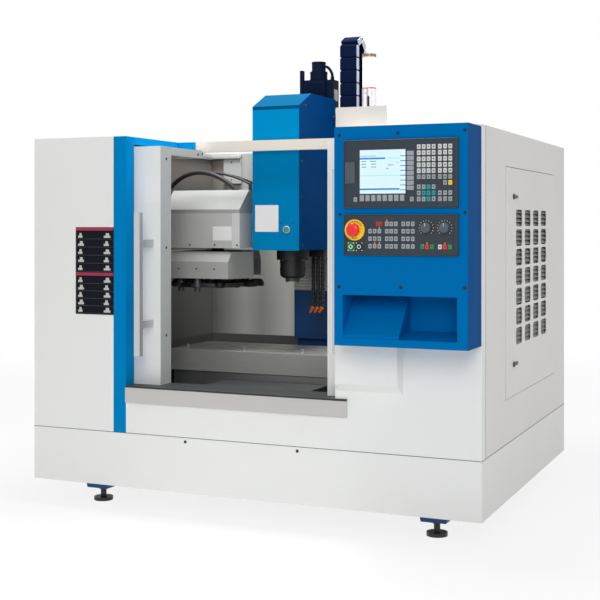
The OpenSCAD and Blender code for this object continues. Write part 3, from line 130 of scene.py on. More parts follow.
class Value:
    """One output of a shader node, with arithmetic that adds Math nodes."""

    def __init__(self, look, socket):
        self.look = look
        self.socket = socket

    def maths(self, operation, *others, clamp=False):
        node = self.look.add("ShaderNodeMath", operation=operation, use_clamp=clamp)
        for place, value in enumerate((self, *others)):
            self.look.feed(node.inputs[place], value)
        return Value(self.look, node.outputs[0])

    def __add__(self, other):
        return self.maths("ADD", other)

    def __sub__(self, other):
        return self.maths("SUBTRACT", other)

    def __mul__(self, other):
        return self.maths("MULTIPLY", other)

    def __truediv__(self, other):
        return self.maths("DIVIDE", other)

    def __rsub__(self, other):
        return (self * -1) + other

    __radd__ = __add__
    __rmul__ = __mul__

    def ramp(self, low, high):
        """Rises from 0 to 1 between two limits."""
        return ((self - low) / (high - low)).maths("ADD", 0, clamp=True)

    def within(self, low, high, soft=0.0):
        """1 where the value lies between two limits, 0 elsewhere."""
        if not soft:
            return self.maths("GREATER_THAN", low) * self.maths("LESS_THAN", high)
        rise = ((self - (low - soft / 2)) / soft).maths("ADD", 0, clamp=True)
        fall = (((high + soft / 2) - self) / soft).maths("ADD", 0, clamp=True)
        return rise * fall


class Look:
    """A material in the making."""

    def __init__(self, name, **constants):
        self.material = bpy.data.materials.new(name)
        self.material.use_nodes = True
        self.tree = self.material.node_tree
        self.shader = self.tree.nodes["Principled BSDF"]
        for socket, value in constants.items():
            self.set(socket.replace("_", " "), value)
        self.place = None

    def set(self, socket, value):
        """Sets or links a socket of the shader by its name."""
        names = {s.name.lower(): s for s in self.shader.inputs}
        self.feed(names[socket.lower()], value)

    def feed(self, socket, value):
        if isinstance(value, Value):
            self.tree.links.new(value.socket, socket)
        elif isinstance(value, (tuple, list)) and len(value) == 3 and len(socket.default_value) == 4:
            socket.default_value = (*value, 1)
        else:
            socket.default_value = value

    def add(self, kind, **settings):
        """A node of one kind with its settings and the values or links of its sockets."""
        sockets = settings.pop("sockets", {})
        node = self.tree.nodes.new(kind)
        for name, value in settings.items():
            setattr(node, name, value)
        for name, value in sockets.items():
            self.feed(node.inputs[name], value)
        return node

    def coordinates(self):
        if self.place is None:
            node = self.add("ShaderNodeTexCoord")
            self.place = Value(self, node.outputs["Object"])
        return self.place

    def axes(self):
        """The three object coordinates, in metres."""
        node = self.add("ShaderNodeSeparateXYZ", sockets={"Vector": self.coordinates()})
        return [Value(self, node.outputs[name]) for name in ("X", "Y", "Z")]

    def noise(self, scale, detail=2.0, roughness=0.5, stretch=(1, 1, 1)):
        place = self.add("ShaderNodeMapping", sockets={"Vector": self.coordinates(), "Scale": stretch})
        node = self.add(
            "ShaderNodeTexNoise",
            sockets={"Vector": Value(self, place.outputs[0]), "Scale": scale, "Detail": detail,
                     "Roughness": roughness},
        )
        return Value(self, node.outputs["Fac"])

    def mix(self, share, first, second):
        """The first colour, turned into the second by a share."""
        node = self.add("ShaderNodeMix", data_type="RGBA")
        self.feed(node.inputs["Factor"], share)
        self.feed(node.inputs[6], first)
        self.feed(node.inputs[7], second)
        return Value(self, node.outputs[2])

    def bump(self, height, strength, distance):
        node = self.add(
            "ShaderNodeBump", sockets={"Height": height, "Strength": strength, "Distance": distance}
        )
        self.set("Normal", Value(self, node.outputs["Normal"]))


def shade(colour_value, factor):
    """A colour made darker or lighter by a factor."""
    return tuple(min(1.0, c * factor) for c in tuple(colour_value)[:3])


def painted(name, base, roughness=0.42, peel=0.25, grime=0.05, gloss=0.35, sides=()):
    """Powder coated sheet: orange peel, faint tone changes, a little dust low down, and flat colours on the faces
    listed in sides, which several finishes use for painted shade and painted highlights.
    """
    look = Look(name, Specular_IOR_Level=gloss, Coat_Roughness=0.2)
    broad = look.noise(1.7, 4, 0.55)
    fine = look.noise(380, 2, 0.5)
    x, y, z = look.axes()
    dust = (1 - z * 2.2).maths("ADD", 0, clamp=True) * look.noise(9, 5, 0.6) * grime
    tint = look.mix(broad * 0.5, shade(base, 1.03), shade(base, 0.94))
    # Each entry of sides lays a flat colour over a band of one axis: mostly painted shade and painted highlights on
    # chosen faces.
    for axis, low, high, other in sides:
        tint = look.mix((x, y, z)[axis].within(low, high), tint, other)
    look.set("Base Color", look.mix(dust, tint, (0.30, 0.28, 0.25)))
    look.set("Roughness", broad * 0.14 + (roughness - 0.06) + fine * 0.03)
    look.bump(fine, peel, 0.0002)
    return look.material


def brushed(name, base, roughness=0.34, stretch=(1, 1, 60), metal=0.85, bands=0.0):
    """Brushed sheet with fine lines along one direction and soft bands across it."""
    look = Look(name, Anisotropic=0.4)
    lines = look.noise(26, 5, 0.65, stretch)
    smears = look.noise(3.2, 3, 0.5)
    tint = look.mix(lines * 0.55, shade(base, 1.06), shade(base, 0.80))
    if bands:
        waves = look.noise(3.1, 1, 0.3, (1, 0.7, 0.02))
        tint = look.mix((waves - 0.32) * 2.4 * bands, tint, shade(base, 0.42))
    look.set("Base Color", tint)
    look.set("Metallic", metal)
    look.set("Roughness", smears * 0.14 + lines * 0.10 + (roughness - 0.12))
    look.bump(lines, 0.10, 0.0002)
    return look.material


def machined(name, base, roughness=0.36, metal=0.75):
    """Ground and scraped iron with an oily sheen."""
    look = Look(name)
    cuts = look.noise(60, 3, 0.6, (0.25, 6, 6))
    wear = look.noise(7, 6, 0.6)
    look.set("Base Color", look.mix(cuts * 0.5 + wear * 0.3, shade(base, 1.15), shade(base, 0.62)))
    look.set("Metallic", metal)
    look.set("Roughness", wear * 0.25 + (roughness - 0.1))
    look.bump(cuts, 0.12, 0.0003)
    return look.material


def guard_sheet(name, base):
    """Sheet of the work space with painted light and shade: dim in the left corner with a lighter top, painted
    reflection bands brightening towards the column, and painted shade low down.
    """
    look = Look(name, Metallic=0.12, Specular_IOR_Level=0.4)
    x, y, z = look.axes()
    left, front = at(0, 0, 0).x, at(0, 0, 0).y
    lines = look.noise(20, 4, 0.6, (6, 6, 0.05))
    # Painted reflection bands: brighter, then a dip, then brighter again from left to right, and a little brighter
    # towards the back.
    share = x.ramp(left + 0.230, left + 0.420) * 0.52 - x.ramp(left + 0.430, left + 0.525) * 0.20
    share = share + x.ramp(left + 0.540, left + 0.740) * 0.72 + y.ramp(front + 0.900, front + 1.440) * 0.10
    # Painted light and shade in the left corner: a dark base, lighter and warmer along the top.
    high = z.ramp(1.540, 1.600) * x.maths("LESS_THAN", left + 0.330)
    dim = look.mix(high, shade(base, 0.20), tone(112, 102, 95))
    tint = look.mix((share + lines * 0.06).maths("ADD", 0, clamp=True), dim, shade(base, 1.6))
    # Painted shade: dark grey below 0.709 m above the table's back edge, near black below 0.625 m in the gap under the
    # table.
    tint = look.mix(z.maths("LESS_THAN", 0.709), tint, tone(84, 84, 84))
    tint = look.mix(z.maths("LESS_THAN", 0.625), tint, tone(26, 26, 27))
    look.set("Base Color", tint)
    look.set("Roughness", lines * 0.12 + 0.38)
    look.bump(lines, 0.06, 0.0002)
    return look.material


def moulded(name, base, roughness=0.45, grain=900, coat=0.0, gloss=0.5):
    """Moulded plastic or lacquer with a fine grain."""
    look = Look(name, Coat_Weight=coat, Specular_IOR_Level=gloss)
    fine = look.noise(grain, 2, 0.5)
    broad = look.noise(14, 3, 0.5)
    look.set("Base Color", look.mix(broad * 0.5, shade(base, 1.08), shade(base, 0.86)))
    look.set("Roughness", broad * 0.12 + fine * 0.08 + (roughness - 0.08))
    look.bump(fine, 0.12, 0.0001)
    return look.material


def casting(name, base, roughness=0.5):
    """Painted cast iron with an uneven skin."""
    look = Look(name)
    skin = look.noise(70, 5, 0.6)
    broad = look.noise(4, 4, 0.5)
    look.set("Base Color", look.mix(broad * 0.5 + skin * 0.2, shade(base, 1.1), shade(base, 0.75)))
    look.set("Roughness", skin * 0.2 + (roughness - 0.1))
    look.bump(skin, 0.35, 0.0008)
    return look.material


def rubbery(name, base, roughness=0.62, scale=500):
    """Rubber or coated cloth."""
    look = Look(name, Sheen_Weight=0.15, Sheen_Roughness=0.5)
    weave = look.noise(scale, 3, 0.6)
    broad = look.noise(11, 4, 0.55)
    look.set("Base Color", look.mix(broad * 0.7, shade(base, 1.25), shade(base, 0.75)))
    look.set("Roughness", weave * 0.15 + (roughness - 0.07))
    look.bump(weave, 0.3, 0.0003)
    return look.material


def clear_glass(name):
    """Laminated window pane with a faint film."""
    look = Look(name, Transmission_Weight=1.0, IOR=1.45)
    film = look.noise(5, 5, 0.6)
    look.set("Base Color", look.mix(film * 0.4, (0.90, 0.95, 0.95), (0.78, 0.85, 0.85)))
    look.set("Roughness", film * 0.06)
    return look.material


def lit_screen(name):
    """A display with pale windows and blue bars, and no words."""
    low, high = (Vector(c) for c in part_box("screen"))
    look = Look(name, Emission_Strength=0.22, Coat_Weight=0.2)
    x, y, z = look.axes()
    u = (x - low.x) / (high.x - low.x)
    v = (z - low.z) / (high.z - low.z)
    ground = look.mix(look.noise(9, 2) * 0.5, tone(214, 238, 246), tone(188, 224, 240))
    marks = [
        (0.00, 0.785, 0.56, 0.825, tone(0, 140, 200)),
        (0.56, 0.785, 0.88, 0.820, tone(176, 226, 244)),
        (0.02, 0.850, 0.36, 0.870, tone(150, 176, 190)),
        (0.00, 0.400, 0.88, 0.425, tone(170, 222, 244)),
        (0.00, 0.085, 0.87, 0.120, tone(0, 110, 176)),
        (0.04, 0.730, 0.14, 0.750, tone(120, 140, 156)),
        (0.22, 0.730, 0.36, 0.750, tone(120, 140, 156)),
        (0.04, 0.665, 0.14, 0.685, tone(120, 140, 156)),
        (0.25, 0.665, 0.36, 0.685, tone(120, 140, 156)),
        (0.04, 0.600, 0.14, 0.620, tone(120, 140, 156)),
        (0.25, 0.600, 0.36, 0.620, tone(120, 140, 156)),
        (0.62, 0.640, 0.74, 0.660, tone(140, 160, 172)),
        (0.58, 0.560, 0.64, 0.580, tone(140, 160, 172)),
        (0.80, 0.700, 0.86, 0.715, tone(160, 190, 204)),
    ]
    for step in range(8):
        top = 0.86 - step * 0.11
        marks.append((0.885, top - 0.018, 1.0, top, tone(0, 116, 184)))
    for left, bottom, right, top, tint in marks:
        ground = look.mix(u.within(left, right) * v.within(bottom, top), ground, tint)
    look.set("Base Color", ground)
    look.set("Emission Color", ground)
    look.set("Roughness", look.noise(40) * 0.1 + 0.1)
    return look.material


def lamp_glass(name):
    """Signal lamp lens, warm at the top and pale below, with fine ribs."""
    low, high = (Vector(c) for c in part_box("lamp_lens"))
    look = Look(name, Emission_Strength=0.9, Coat_Weight=0.5)
    x, y, z = look.axes()
    rise = (z - low.z) / (high.z - low.z)
    ribs = (rise * 40).maths("FRACT").within(0.35, 0.65, 0.3)
    tint = look.mix(rise.ramp(0.45, 0.88), tone(255, 252, 246), tone(255, 246, 196))
    tint = look.mix(rise.within(0.965, 1.5), tint, tone(190, 150, 120))
    tint = look.mix(rise.within(-0.5, 0.045), tint, tone(250, 120, 50))
    look.set("Base Color", tint)
    look.set("Emission Color", tint)
    look.set("Roughness", ribs * 0.2 + 0.15)
    look.bump(ribs, 0.4, 0.001)
    return look.material


def edge_of(node):
    """The thin range of X that holds the right side of a node."""
    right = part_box(node)[1][0]
    return right - 0.0015, right + 0.01


def lamp_metal(name):
    """Polished tube of the signal lamp with painted reflection streaks running upright and a dark cap."""
    low, high = (Vector(c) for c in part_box("lamp_base"))
    look = Look(name, Metallic=0.35, Specular_IOR_Level=0.5)
    x, y, z = look.axes()
    across = (x - low.x) / (high.x - low.x)
    # Painted reflections: pale and dark upright streaks across the tube.
    reflection_streaks = across.within(0.10, 0.22, 0.08) + across.within(0.48, 0.66, 0.08) * 0.8
    tint = look.mix(reflection_streaks + look.noise(300, 2) * 0.1, tone(240, 236, 242), tone(168, 160, 170))
    tint = look.mix(z.maths("GREATER_THAN", high.z - 0.013), tint, tone(132, 116, 118))
    look.set("Base Color", tint)
    look.set("Roughness", look.noise(60, 3) * 0.2 + 0.2)
    return look.material


FINISH = {}


def finishes(c):
    """Makes every finish once and keeps it by its name."""
    FINISH.update(
        white=painted("white_sheet", c.white),
        side=painted("side_sheet", c.side),
        # Painted shade: the right side of the operator cabinet is coloured a darker blue.
        cabinet=painted("cabinet_blue", c.cabinet_blue, 0.42, gloss=0.01,
                        sides=[(0, *edge_of("operator_cabinet"), tone(0, 78, 142))]),
        strip=painted("frame_blue", c.frame_blue, 0.42, gloss=0.01),
        # Painted shade: the top band and the right side of the head cover are coloured a darker blue.
        head=painted("head_blue", c.head_blue, 0.42, gloss=0.01,
                     sides=[(2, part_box("head_cover")[1][2] - 0.088, 9.0, tone(0, 78, 114)),
                            (0, *edge_of("head_cover"), tone(0, 68, 132))]),
        cream=painted("cream_sheet", c.cream),
        # Painted highlight: the right end of the roof box is coloured near white.
        roof=painted("roof_sheet", c.cream, sides=[(0, *edge_of("roof_box"), tone(250, 249, 246))]),
        sill=painted("sill_grey", c.sill, 0.45, gloss=0.1,
                     sides=[(2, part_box("sill")[1][2] - 0.0015, 9.0, tone(58, 60, 60))]),
        bed=casting("casting_blue", c.casting_blue),
        iron=machined("machined_iron", tone(150, 151, 150)),
        table=machined("table_iron", tone(160, 160, 158), 0.42, 0.2),
        dark_iron=casting("dark_casting", tone(17, 18, 19)),
        steel=machined("ground_steel", tone(205, 206, 206), 0.28),
        # Painted shade: a darkened copy of the ground steel, for the spindle and for the tool holders under the
        # carousel.
        dark_steel=machined("dark_steel", tone(78, 79, 80), 0.42, 0.4),
        guard=guard_sheet("guard_sheet", c.guard),
        # Painted highlight on the right end of the magazine housing and painted shade on its top bevel.
        silver=painted("silver_paint", c.silver, 0.34, 0.15, sides=[
            (0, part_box("magazine_housing")[1][0] - 0.052, 9.0, shade(c.silver, 1.25)),
            (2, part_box("magazine_housing")[1][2] - 0.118, 9.0, shade(c.silver, 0.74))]),
        # Painted shade: the right end of the magazine cover ring is coloured darker.
        ring_silver=painted("ring_paint", shade(c.silver, 0.86), 0.34, 0.15, sides=[
            (0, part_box("magazine_cover")[1][0] - 0.0655, 9.0, shade(c.silver, 0.62))]),
        chrome=lamp_metal("lamp_metal"),
        # Painted shade: the right edge of the left door is coloured grey.
        door=painted("door_sheet", shade(c.white, 0.97),
                     sides=[(0, *edge_of("left_door"), shade(c.white, 0.60))]),
        # Painted shade: the guard rail takes the white sheet paint darkened, for the shade inside the work space.
        rail=painted("rail_sheet_shaded", shade(c.white, 0.62)),
        slat=moulded("vent_slats", tone(132, 134, 124), 0.5, gloss=0.2),
        handle=brushed("handle_aluminium", tone(196, 198, 200), 0.38, (40, 40, 1), 0.7),
        unit=moulded("unit_plastic", c.unit, 0.46, gloss=0.3),
        flap=moulded("flap_plastic", tone(74, 82, 88), 0.4, gloss=0.4),
        key=moulded("key_plastic", c.key, 0.5, 1400),
        pale_key=moulded("pale_key_plastic", c.pale_key, 0.5, 1400),
        teal=moulded("cursor_key_plastic", c.teal, 0.5, 1400),
        yellow=moulded("yellow_plastic", c.yellow, 0.4, 700, 0.2),
        red=moulded("red_plastic", c.red, 0.32, 700, 0.4),
        green=moulded("green_plastic", c.green, 0.36, 700, 0.3),
        black=moulded("black_plastic", tone(22, 22, 24), 0.4),
        slate=moulded("knob_plastic", tone(74, 86, 96), 0.46),
        dial=moulded("dial_face", tone(30, 34, 38), 0.5),
        mark=moulded("dial_marks", tone(226, 228, 228), 0.5),
        motor=moulded("motor_lacquer", tone(12, 23, 42), 0.42, gloss=0.03),
        # Painted highlight: the right side of the drag chain's links is coloured pale.
        chain=painted("chain_plastic", tone(8, 20, 46), 0.5, 0.4, 0, 0.02, sides=[
            (0, *edge_of("drag_chain"), tone(206, 210, 228))]),
        hose=rubbery("hose_rubber", tone(24, 24, 25), 0.5),
        bellows=rubbery("dark_bellows", tone(28, 29, 31)),
        pale_bellows=rubbery("pale_bellows", tone(178, 180, 178)),
        seal=rubbery("seal_rubber", tone(24, 25, 27)),
        orange=moulded("nozzle_plastic", tone(232, 108, 24), 0.38, 500, 0.2),
        navy=moulded("notice_board", c.navy, 0.45, 900, gloss=0.1),
        crimson=moulded("board_band", tone(150, 28, 64), 0.4),
        pale=moulded("board_shapes", tone(190, 188, 180), 0.4),
        plate=moulded("blank_plate", tone(232, 230, 230), 0.35, 500, 0.3),
        sight=moulded("sight_glass", tone(20, 128, 96), 0.15, 300, 0.8),
        orange_light=moulded("orange_light", tone(255, 150, 30), 0.3),
        dark=moulded("shadow_gap", tone(30, 31, 32), 0.6),
        glass=clear_glass("window_glass"),
        screen=lit_screen("lit_screen"),
        lens=lamp_glass("lamp_lens"),
    )


NODE_FINISH = {
    "levelling_feet": "black", "machine_bed": "bed", "base_tray": "white", "column": "bed",
    "guideways": "steel", "axis_motors": "motor", "left_front": "white", "left_frame": "strip",
    "front_apron": "white", "sill": "sill", "right_front": "white",
    "operator_cabinet": "cabinet", "left_side_panel": "side", "right_side_panel": "side",
    "rear_panel": "side", "top_covers": "white", "crossbeam": "cream", "roof_box": "roof",
    "lamp_base": "chrome", "lamp_lens": "lens", "inner_guards": "guard",
    "control_panels": "unit", "screen": "screen", "panel_keys": "key",
    "estop_ring": "yellow", "magazine_housing": "silver", "magazine_hoses": "hose",
    "electrical_cabinet": "side", "drag_chain": "chain", "z_bellows": "pale_bellows",
    "y_bellows": "bellows", "usb_flap": "flap", "estop_button": "red", "feed_knob": "slate",
    "speed_knob": "slate", "power_on_button": "green", "power_off_button": "black",
    "side_door": "side", "upper_latch": "black", "lower_latch": "black",
    "left_door": "door", "left_window": "glass", "left_handle": "handle",
    "right_door": "door", "right_window": "glass", "right_handle": "handle",
    "cabinet_door": "side", "main_switch": "red", "saddle": "iron", "table": "table",
    "head_casting": "dark_iron", "head_cover": "head", "spindle_motor": "motor",
    "spindle": "dark_steel", "coolant_hoses": "hose", "coolant_nozzles": "orange",
    "magazine_carriage": "dark_iron", "magazine_cover": "ring_silver", "carousel": "dark_iron",
    "tool_holders": "dark_steel",
}


def keep(name, mesh, finish, body="machine", bevel=0.0, sharp=35):
    """Turns a bmesh into a finished piece that rides on a body."""
    bmesh.ops.recalc_face_normals(mesh, faces=mesh.faces)
    data = bpy.data.meshes.new(name)
    mesh.to_mesh(data)
    mesh.free()
    data.materials.append(FINISH[finish])
    data.shade_smooth()
    data.set_sharp_from_angle(angle=math.radians(sharp))
    piece = bpy.data.objects.new(name, data)
    bpy.context.scene.collection.objects.link(piece)
    if bevel:
        edge = piece.modifiers.new("edges", "BEVEL")
        edge.width = bevel
        edge.segments = 2
        edge.limit_method = "ANGLE"
    if body:
        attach(piece, body)
    return piece


def add_box(mesh, low, high, edge=0.0, steps=1):
    """A block between two corners, with its edges rounded if asked."""
    low, high = Vector(low), Vector(high)
    spread = Matrix.Diagonal((*(high - low), 1))
    made = bmesh.ops.create_cube(mesh, size=1, matrix=Matrix.Translation((low + high) / 2) @ spread)
    if edge:
        edges = list({e for v in made["verts"] for e in v.link_edges})
        bmesh.ops.bevel(mesh, geom=edges, offset=edge, segments=steps, profile=0.5,
                        affect="EDGES", material=-1)
    return made["verts"]


def add_disc(mesh, place, axis, radius, depth, end_radius=None, sides=32):
    """A round bar or cone from a place along an axis."""
    end_radius = radius if end_radius is None else end_radius
    turn = Vector(axis).to_track_quat("Z", "Y").to_matrix().to_4x4()
    matrix = Matrix.Translation(Vector(place) + Vector(axis) * depth / 2) @ turn
    made = bmesh.ops.create_cone(mesh, cap_ends=True, cap_tris=False, segments=sides,
                                 radius1=radius, radius2=end_radius, depth=depth, matrix=matrix)
    return made["verts"]


def add_screw(mesh, place, axis, radius):
    """A button head screw with a sunk socket."""
    axis = Vector(axis)
    verts = add_disc(mesh, place, axis, radius, radius * 0.5, radius * 0.8, 16)
    faces = {f for v in verts for f in v.link_faces}
    top = max(faces, key=lambda f: f.calc_center_median().dot(axis))
    bmesh.ops.inset_region(mesh, faces=[top], thickness=radius * 0.35, depth=0)
    bmesh.ops.translate(mesh, vec=-axis * radius * 0.35, verts=top.verts)


def add_turned(mesh, place, axis, outline, sides=40):
    """A turned part: an outline of (distance along the axis, radius) spun round it."""
    axis = Vector(axis)
    side = axis.orthogonal().normalized()
    verts = [mesh.verts.new(Vector(place) + axis * a + side * r) for a, r in outline]
    edges = [mesh.edges.new(pair) for pair in zip(verts, verts[1:])]
    bmesh.ops.spin(mesh, geom=verts + edges, cent=Vector(place), axis=axis,
                   angle=math.tau, steps=sides, use_merge=True)
    bmesh.ops.remove_doubles(mesh, verts=mesh.verts, dist=0.00001)


def curve(a, b, c, d, steps=48):
    """Points of a smooth path from a to d, pulled towards b and c."""
    shares = [i / steps for i in range(steps + 1)]
    return [a * (1 - t) ** 3 + b * 3 * t * (1 - t) ** 2 + c * 3 * t * t * (1 - t) + d * t ** 3 for t in shares]


def add_tube(mesh, path, radius, sides=14):
    """A round tube along a path."""
    last = len(path) - 1
    rings = []
    for i, spot in enumerate(path):
        way = (path[min(i + 1, last)] - path[max(i - 1, 0)]).normalized()
        turn = way.to_track_quat("Z", "Y").to_matrix().to_4x4()
        made = bmesh.ops.create_circle(mesh, cap_ends=i in (0, last), segments=sides, radius=radius,
                                       matrix=Matrix.Translation(spot) @ turn)
        rings.append(made["verts"])
    for one, two in zip(rings, rings[1:]):
        edges = {e for ring in (one, two) for v in ring for e in v.link_edges if all(w in ring for w in e.verts)}
        bmesh.ops.bridge_loops(mesh, edges=list(edges))


def screws(name, places, axis, radius, body="machine", finish="black"):
    """A group of like screws."""
    mesh = bmesh.new()
    for place in places:
        add_screw(mesh, place, axis, radius)
    return keep(name, mesh, finish, body)


class CENTRE_OT_finishes(bpy.types.Operator):
    """Gives every sheet, casting and control its finish."""

    bl_idname = "centre.finishes"
    bl_label = "Finishes"

    def execute(self, context):
        finishes(context.scene.centre_colours)
        for name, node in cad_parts.items():
            finish = FINISH[NODE_FINISH[name]]
            if node.data.materials:
                for place in range(len(node.data.materials)):
                    node.material_slots[place].material = finish
            else:
                node.data.materials.append(finish)
        return {"FINISHED"}


# Centres of the keys as shares of a unit's width and height
LETTER_COLUMNS = (0.664, 0.706, 0.748, 0.791)
NUMBER_COLUMNS = (0.844, 0.888, 0.932)
LETTER_ROWS = (0.881, 0.795, 0.705, 0.619, 0.534)
LOW_ROWS = (0.302, 0.214, 0.127)
PANEL_ROWS = (0.770, 0.592, 0.409, 0.226)


def panel_keys():
    """Places of the keys by colour: unit, centre share across, centre share up."""
    places = {"pale_key": [], "key": [], "teal": [], "yellow": [], "red": [], "green": []}
    for row in LETTER_ROWS:
        places["pale_key"] += [("screen", u, row) for u in LETTER_COLUMNS + NUMBER_COLUMNS]
    places["key"] += [("screen", u, 0.447) for u in LETTER_COLUMNS + NUMBER_COLUMNS]
    cross = {(2, 0), (1, 1), (2, 1), (3, 1), (2, 2)}
    for r, row in enumerate(LOW_ROWS):
        for c, u in enumerate(LETTER_COLUMNS):
            places["teal" if (c, r) in cross else "key"].append(("screen", u, row))
        if r:
            places["key"] += [("screen", u, row) for u in NUMBER_COLUMNS]
    places["yellow"].append(("screen", NUMBER_COLUMNS[2], 0.360))
    places["key"].append(("screen", NUMBER_COLUMNS[1], 0.360))
    places["key"] += [("screen", 0.106, 0.127), ("screen", 0.604, 0.127)]
    places["key"] += [("panel", u, row) for u in (0.238, 0.279, 0.320) for row in PANEL_ROWS[1:]]
    for columns in ((0.386, 0.425, 0.465), (0.530, 0.570, 0.612)):
        places["key"] += [("panel", u, row) for u in columns for row in PANEL_ROWS]
    places["green"] += [("panel", u, 0.222) for u in (0.694, 0.775, 0.930)]
    places["red"] += [("panel", u, 0.222) for u in (0.734, 0.887)]
    places["pale_key"].append(("panel", 0.845, 0.222))
    return places


def unit_corners():
    """Corners of the screen unit and of the key panel on the operator cabinet."""
    low, high = (Vector(c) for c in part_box("control_panels"))
    upper = high.z - 0.276
    return {
        "screen": (Vector((low.x, low.y, upper)), Vector((high.x, low.y, high.z))),
        "panel": (Vector((low.x, low.y, low.z)), Vector((high.x, low.y, low.z + 0.166))),
    }


def on_unit(unit, u, v):
    """A place on the face of a unit, from shares of its width and height."""
    low, high = unit_corners()[unit]
    return Vector((low.x + (high.x - low.x) * u, low.y, low.z + (high.z - low.z) * v))


class CENTRE_OT_keys(bpy.types.Operator):
    """Lays out the keys of the screen unit and of the key panel."""

    bl_idname = "centre.keys"
    bl_label = "Keys"

    def execute(self, context):
        sizes = context.scene.centre_sizes
        half = Vector((sizes.key_width / 2, 0, sizes.key_height / 2))
        rise = Vector((0, sizes.key_rise, 0))
        first = None
        for finish, places in panel_keys().items():
            mesh = bmesh.new()
            for unit, u, v in places:
                centre = on_unit(unit, u, v)
                add_box(mesh, centre - half - rise, centre + half, 0.0012, 1)
            if finish == "key":
                soft = Vector((0.0150, 0, 0.0088))
                for step in range(8):
                    centre = on_unit("screen", 0.590, 0.794 - step * 0.072)
                    add_box(mesh, centre - soft - rise, centre + soft, 0.001, 1)
                for step in range(8):
                    centre = on_unit("screen", 0.165 + step * 0.0507, 0.147)
                    add_box(mesh, centre - Vector((0.0095, 0, 0.013)) - rise,
                            centre + Vector((0.0095, 0, 0.013)), 0.0015, 1)
            piece = keep("keys_" + finish, mesh, finish)
            first = first or piece
        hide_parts("panel_keys")
        legends = bmesh.new()
        for finish, places in panel_keys().items():
            for unit, u, v in places:
                spot = on_unit(unit, u, v) - rise - Vector((0, 0.0001, 0))
                wide = 0.0028 if (u * 1000 + v * 700) % 3 < 1.5 else 0.0018
                add_box(legends, spot - Vector((wide, 0.0002, 0.0024)), spot + Vector((wide, 0.0002, 0.0024)))
        keep("key_marks", legends, "dial")
        lights = bmesh.new()
        for unit, u, v in (("panel", 0.386, 0.852), ("panel", 0.320, 0.672), ("panel", 0.279, 0.304),
                           ("panel", 0.320, 0.304), ("panel", 0.734, 0.306), ("panel", 0.887, 0.306)):
            spot = on_unit(unit, u, v)
            add_box(lights, spot - Vector((0.0025, 0.002, 0.003)), spot + Vector((0.0025, 0, 0.003)), 0.0008)
        keep("key_lights", lights, "orange_light")
        digits = bmesh.new()
        for u in (0.304, 0.330):
            centre = on_unit("panel", u, 0.771)
            for dx, dz, w, h in ((0, 0.008, 0.004, 0.001), (0, 0, 0.004, 0.001), (0, -0.008, 0.004, 0.001),
                                 (-0.0045, 0.004, 0.001, 0.0034), (0.0045, 0.004, 0.001, 0.0034),
                                 (-0.0045, -0.004, 0.001, 0.0034), (0.0045, -0.004, 0.001, 0.0034)):
                spot = centre + Vector((dx, 0, dz))
                add_box(digits, spot - Vector((w, 0.0012, h)), spot + Vector((w, 0, h)))
        keep("digit_display", digits, "red")
        return {"FINISHED"}


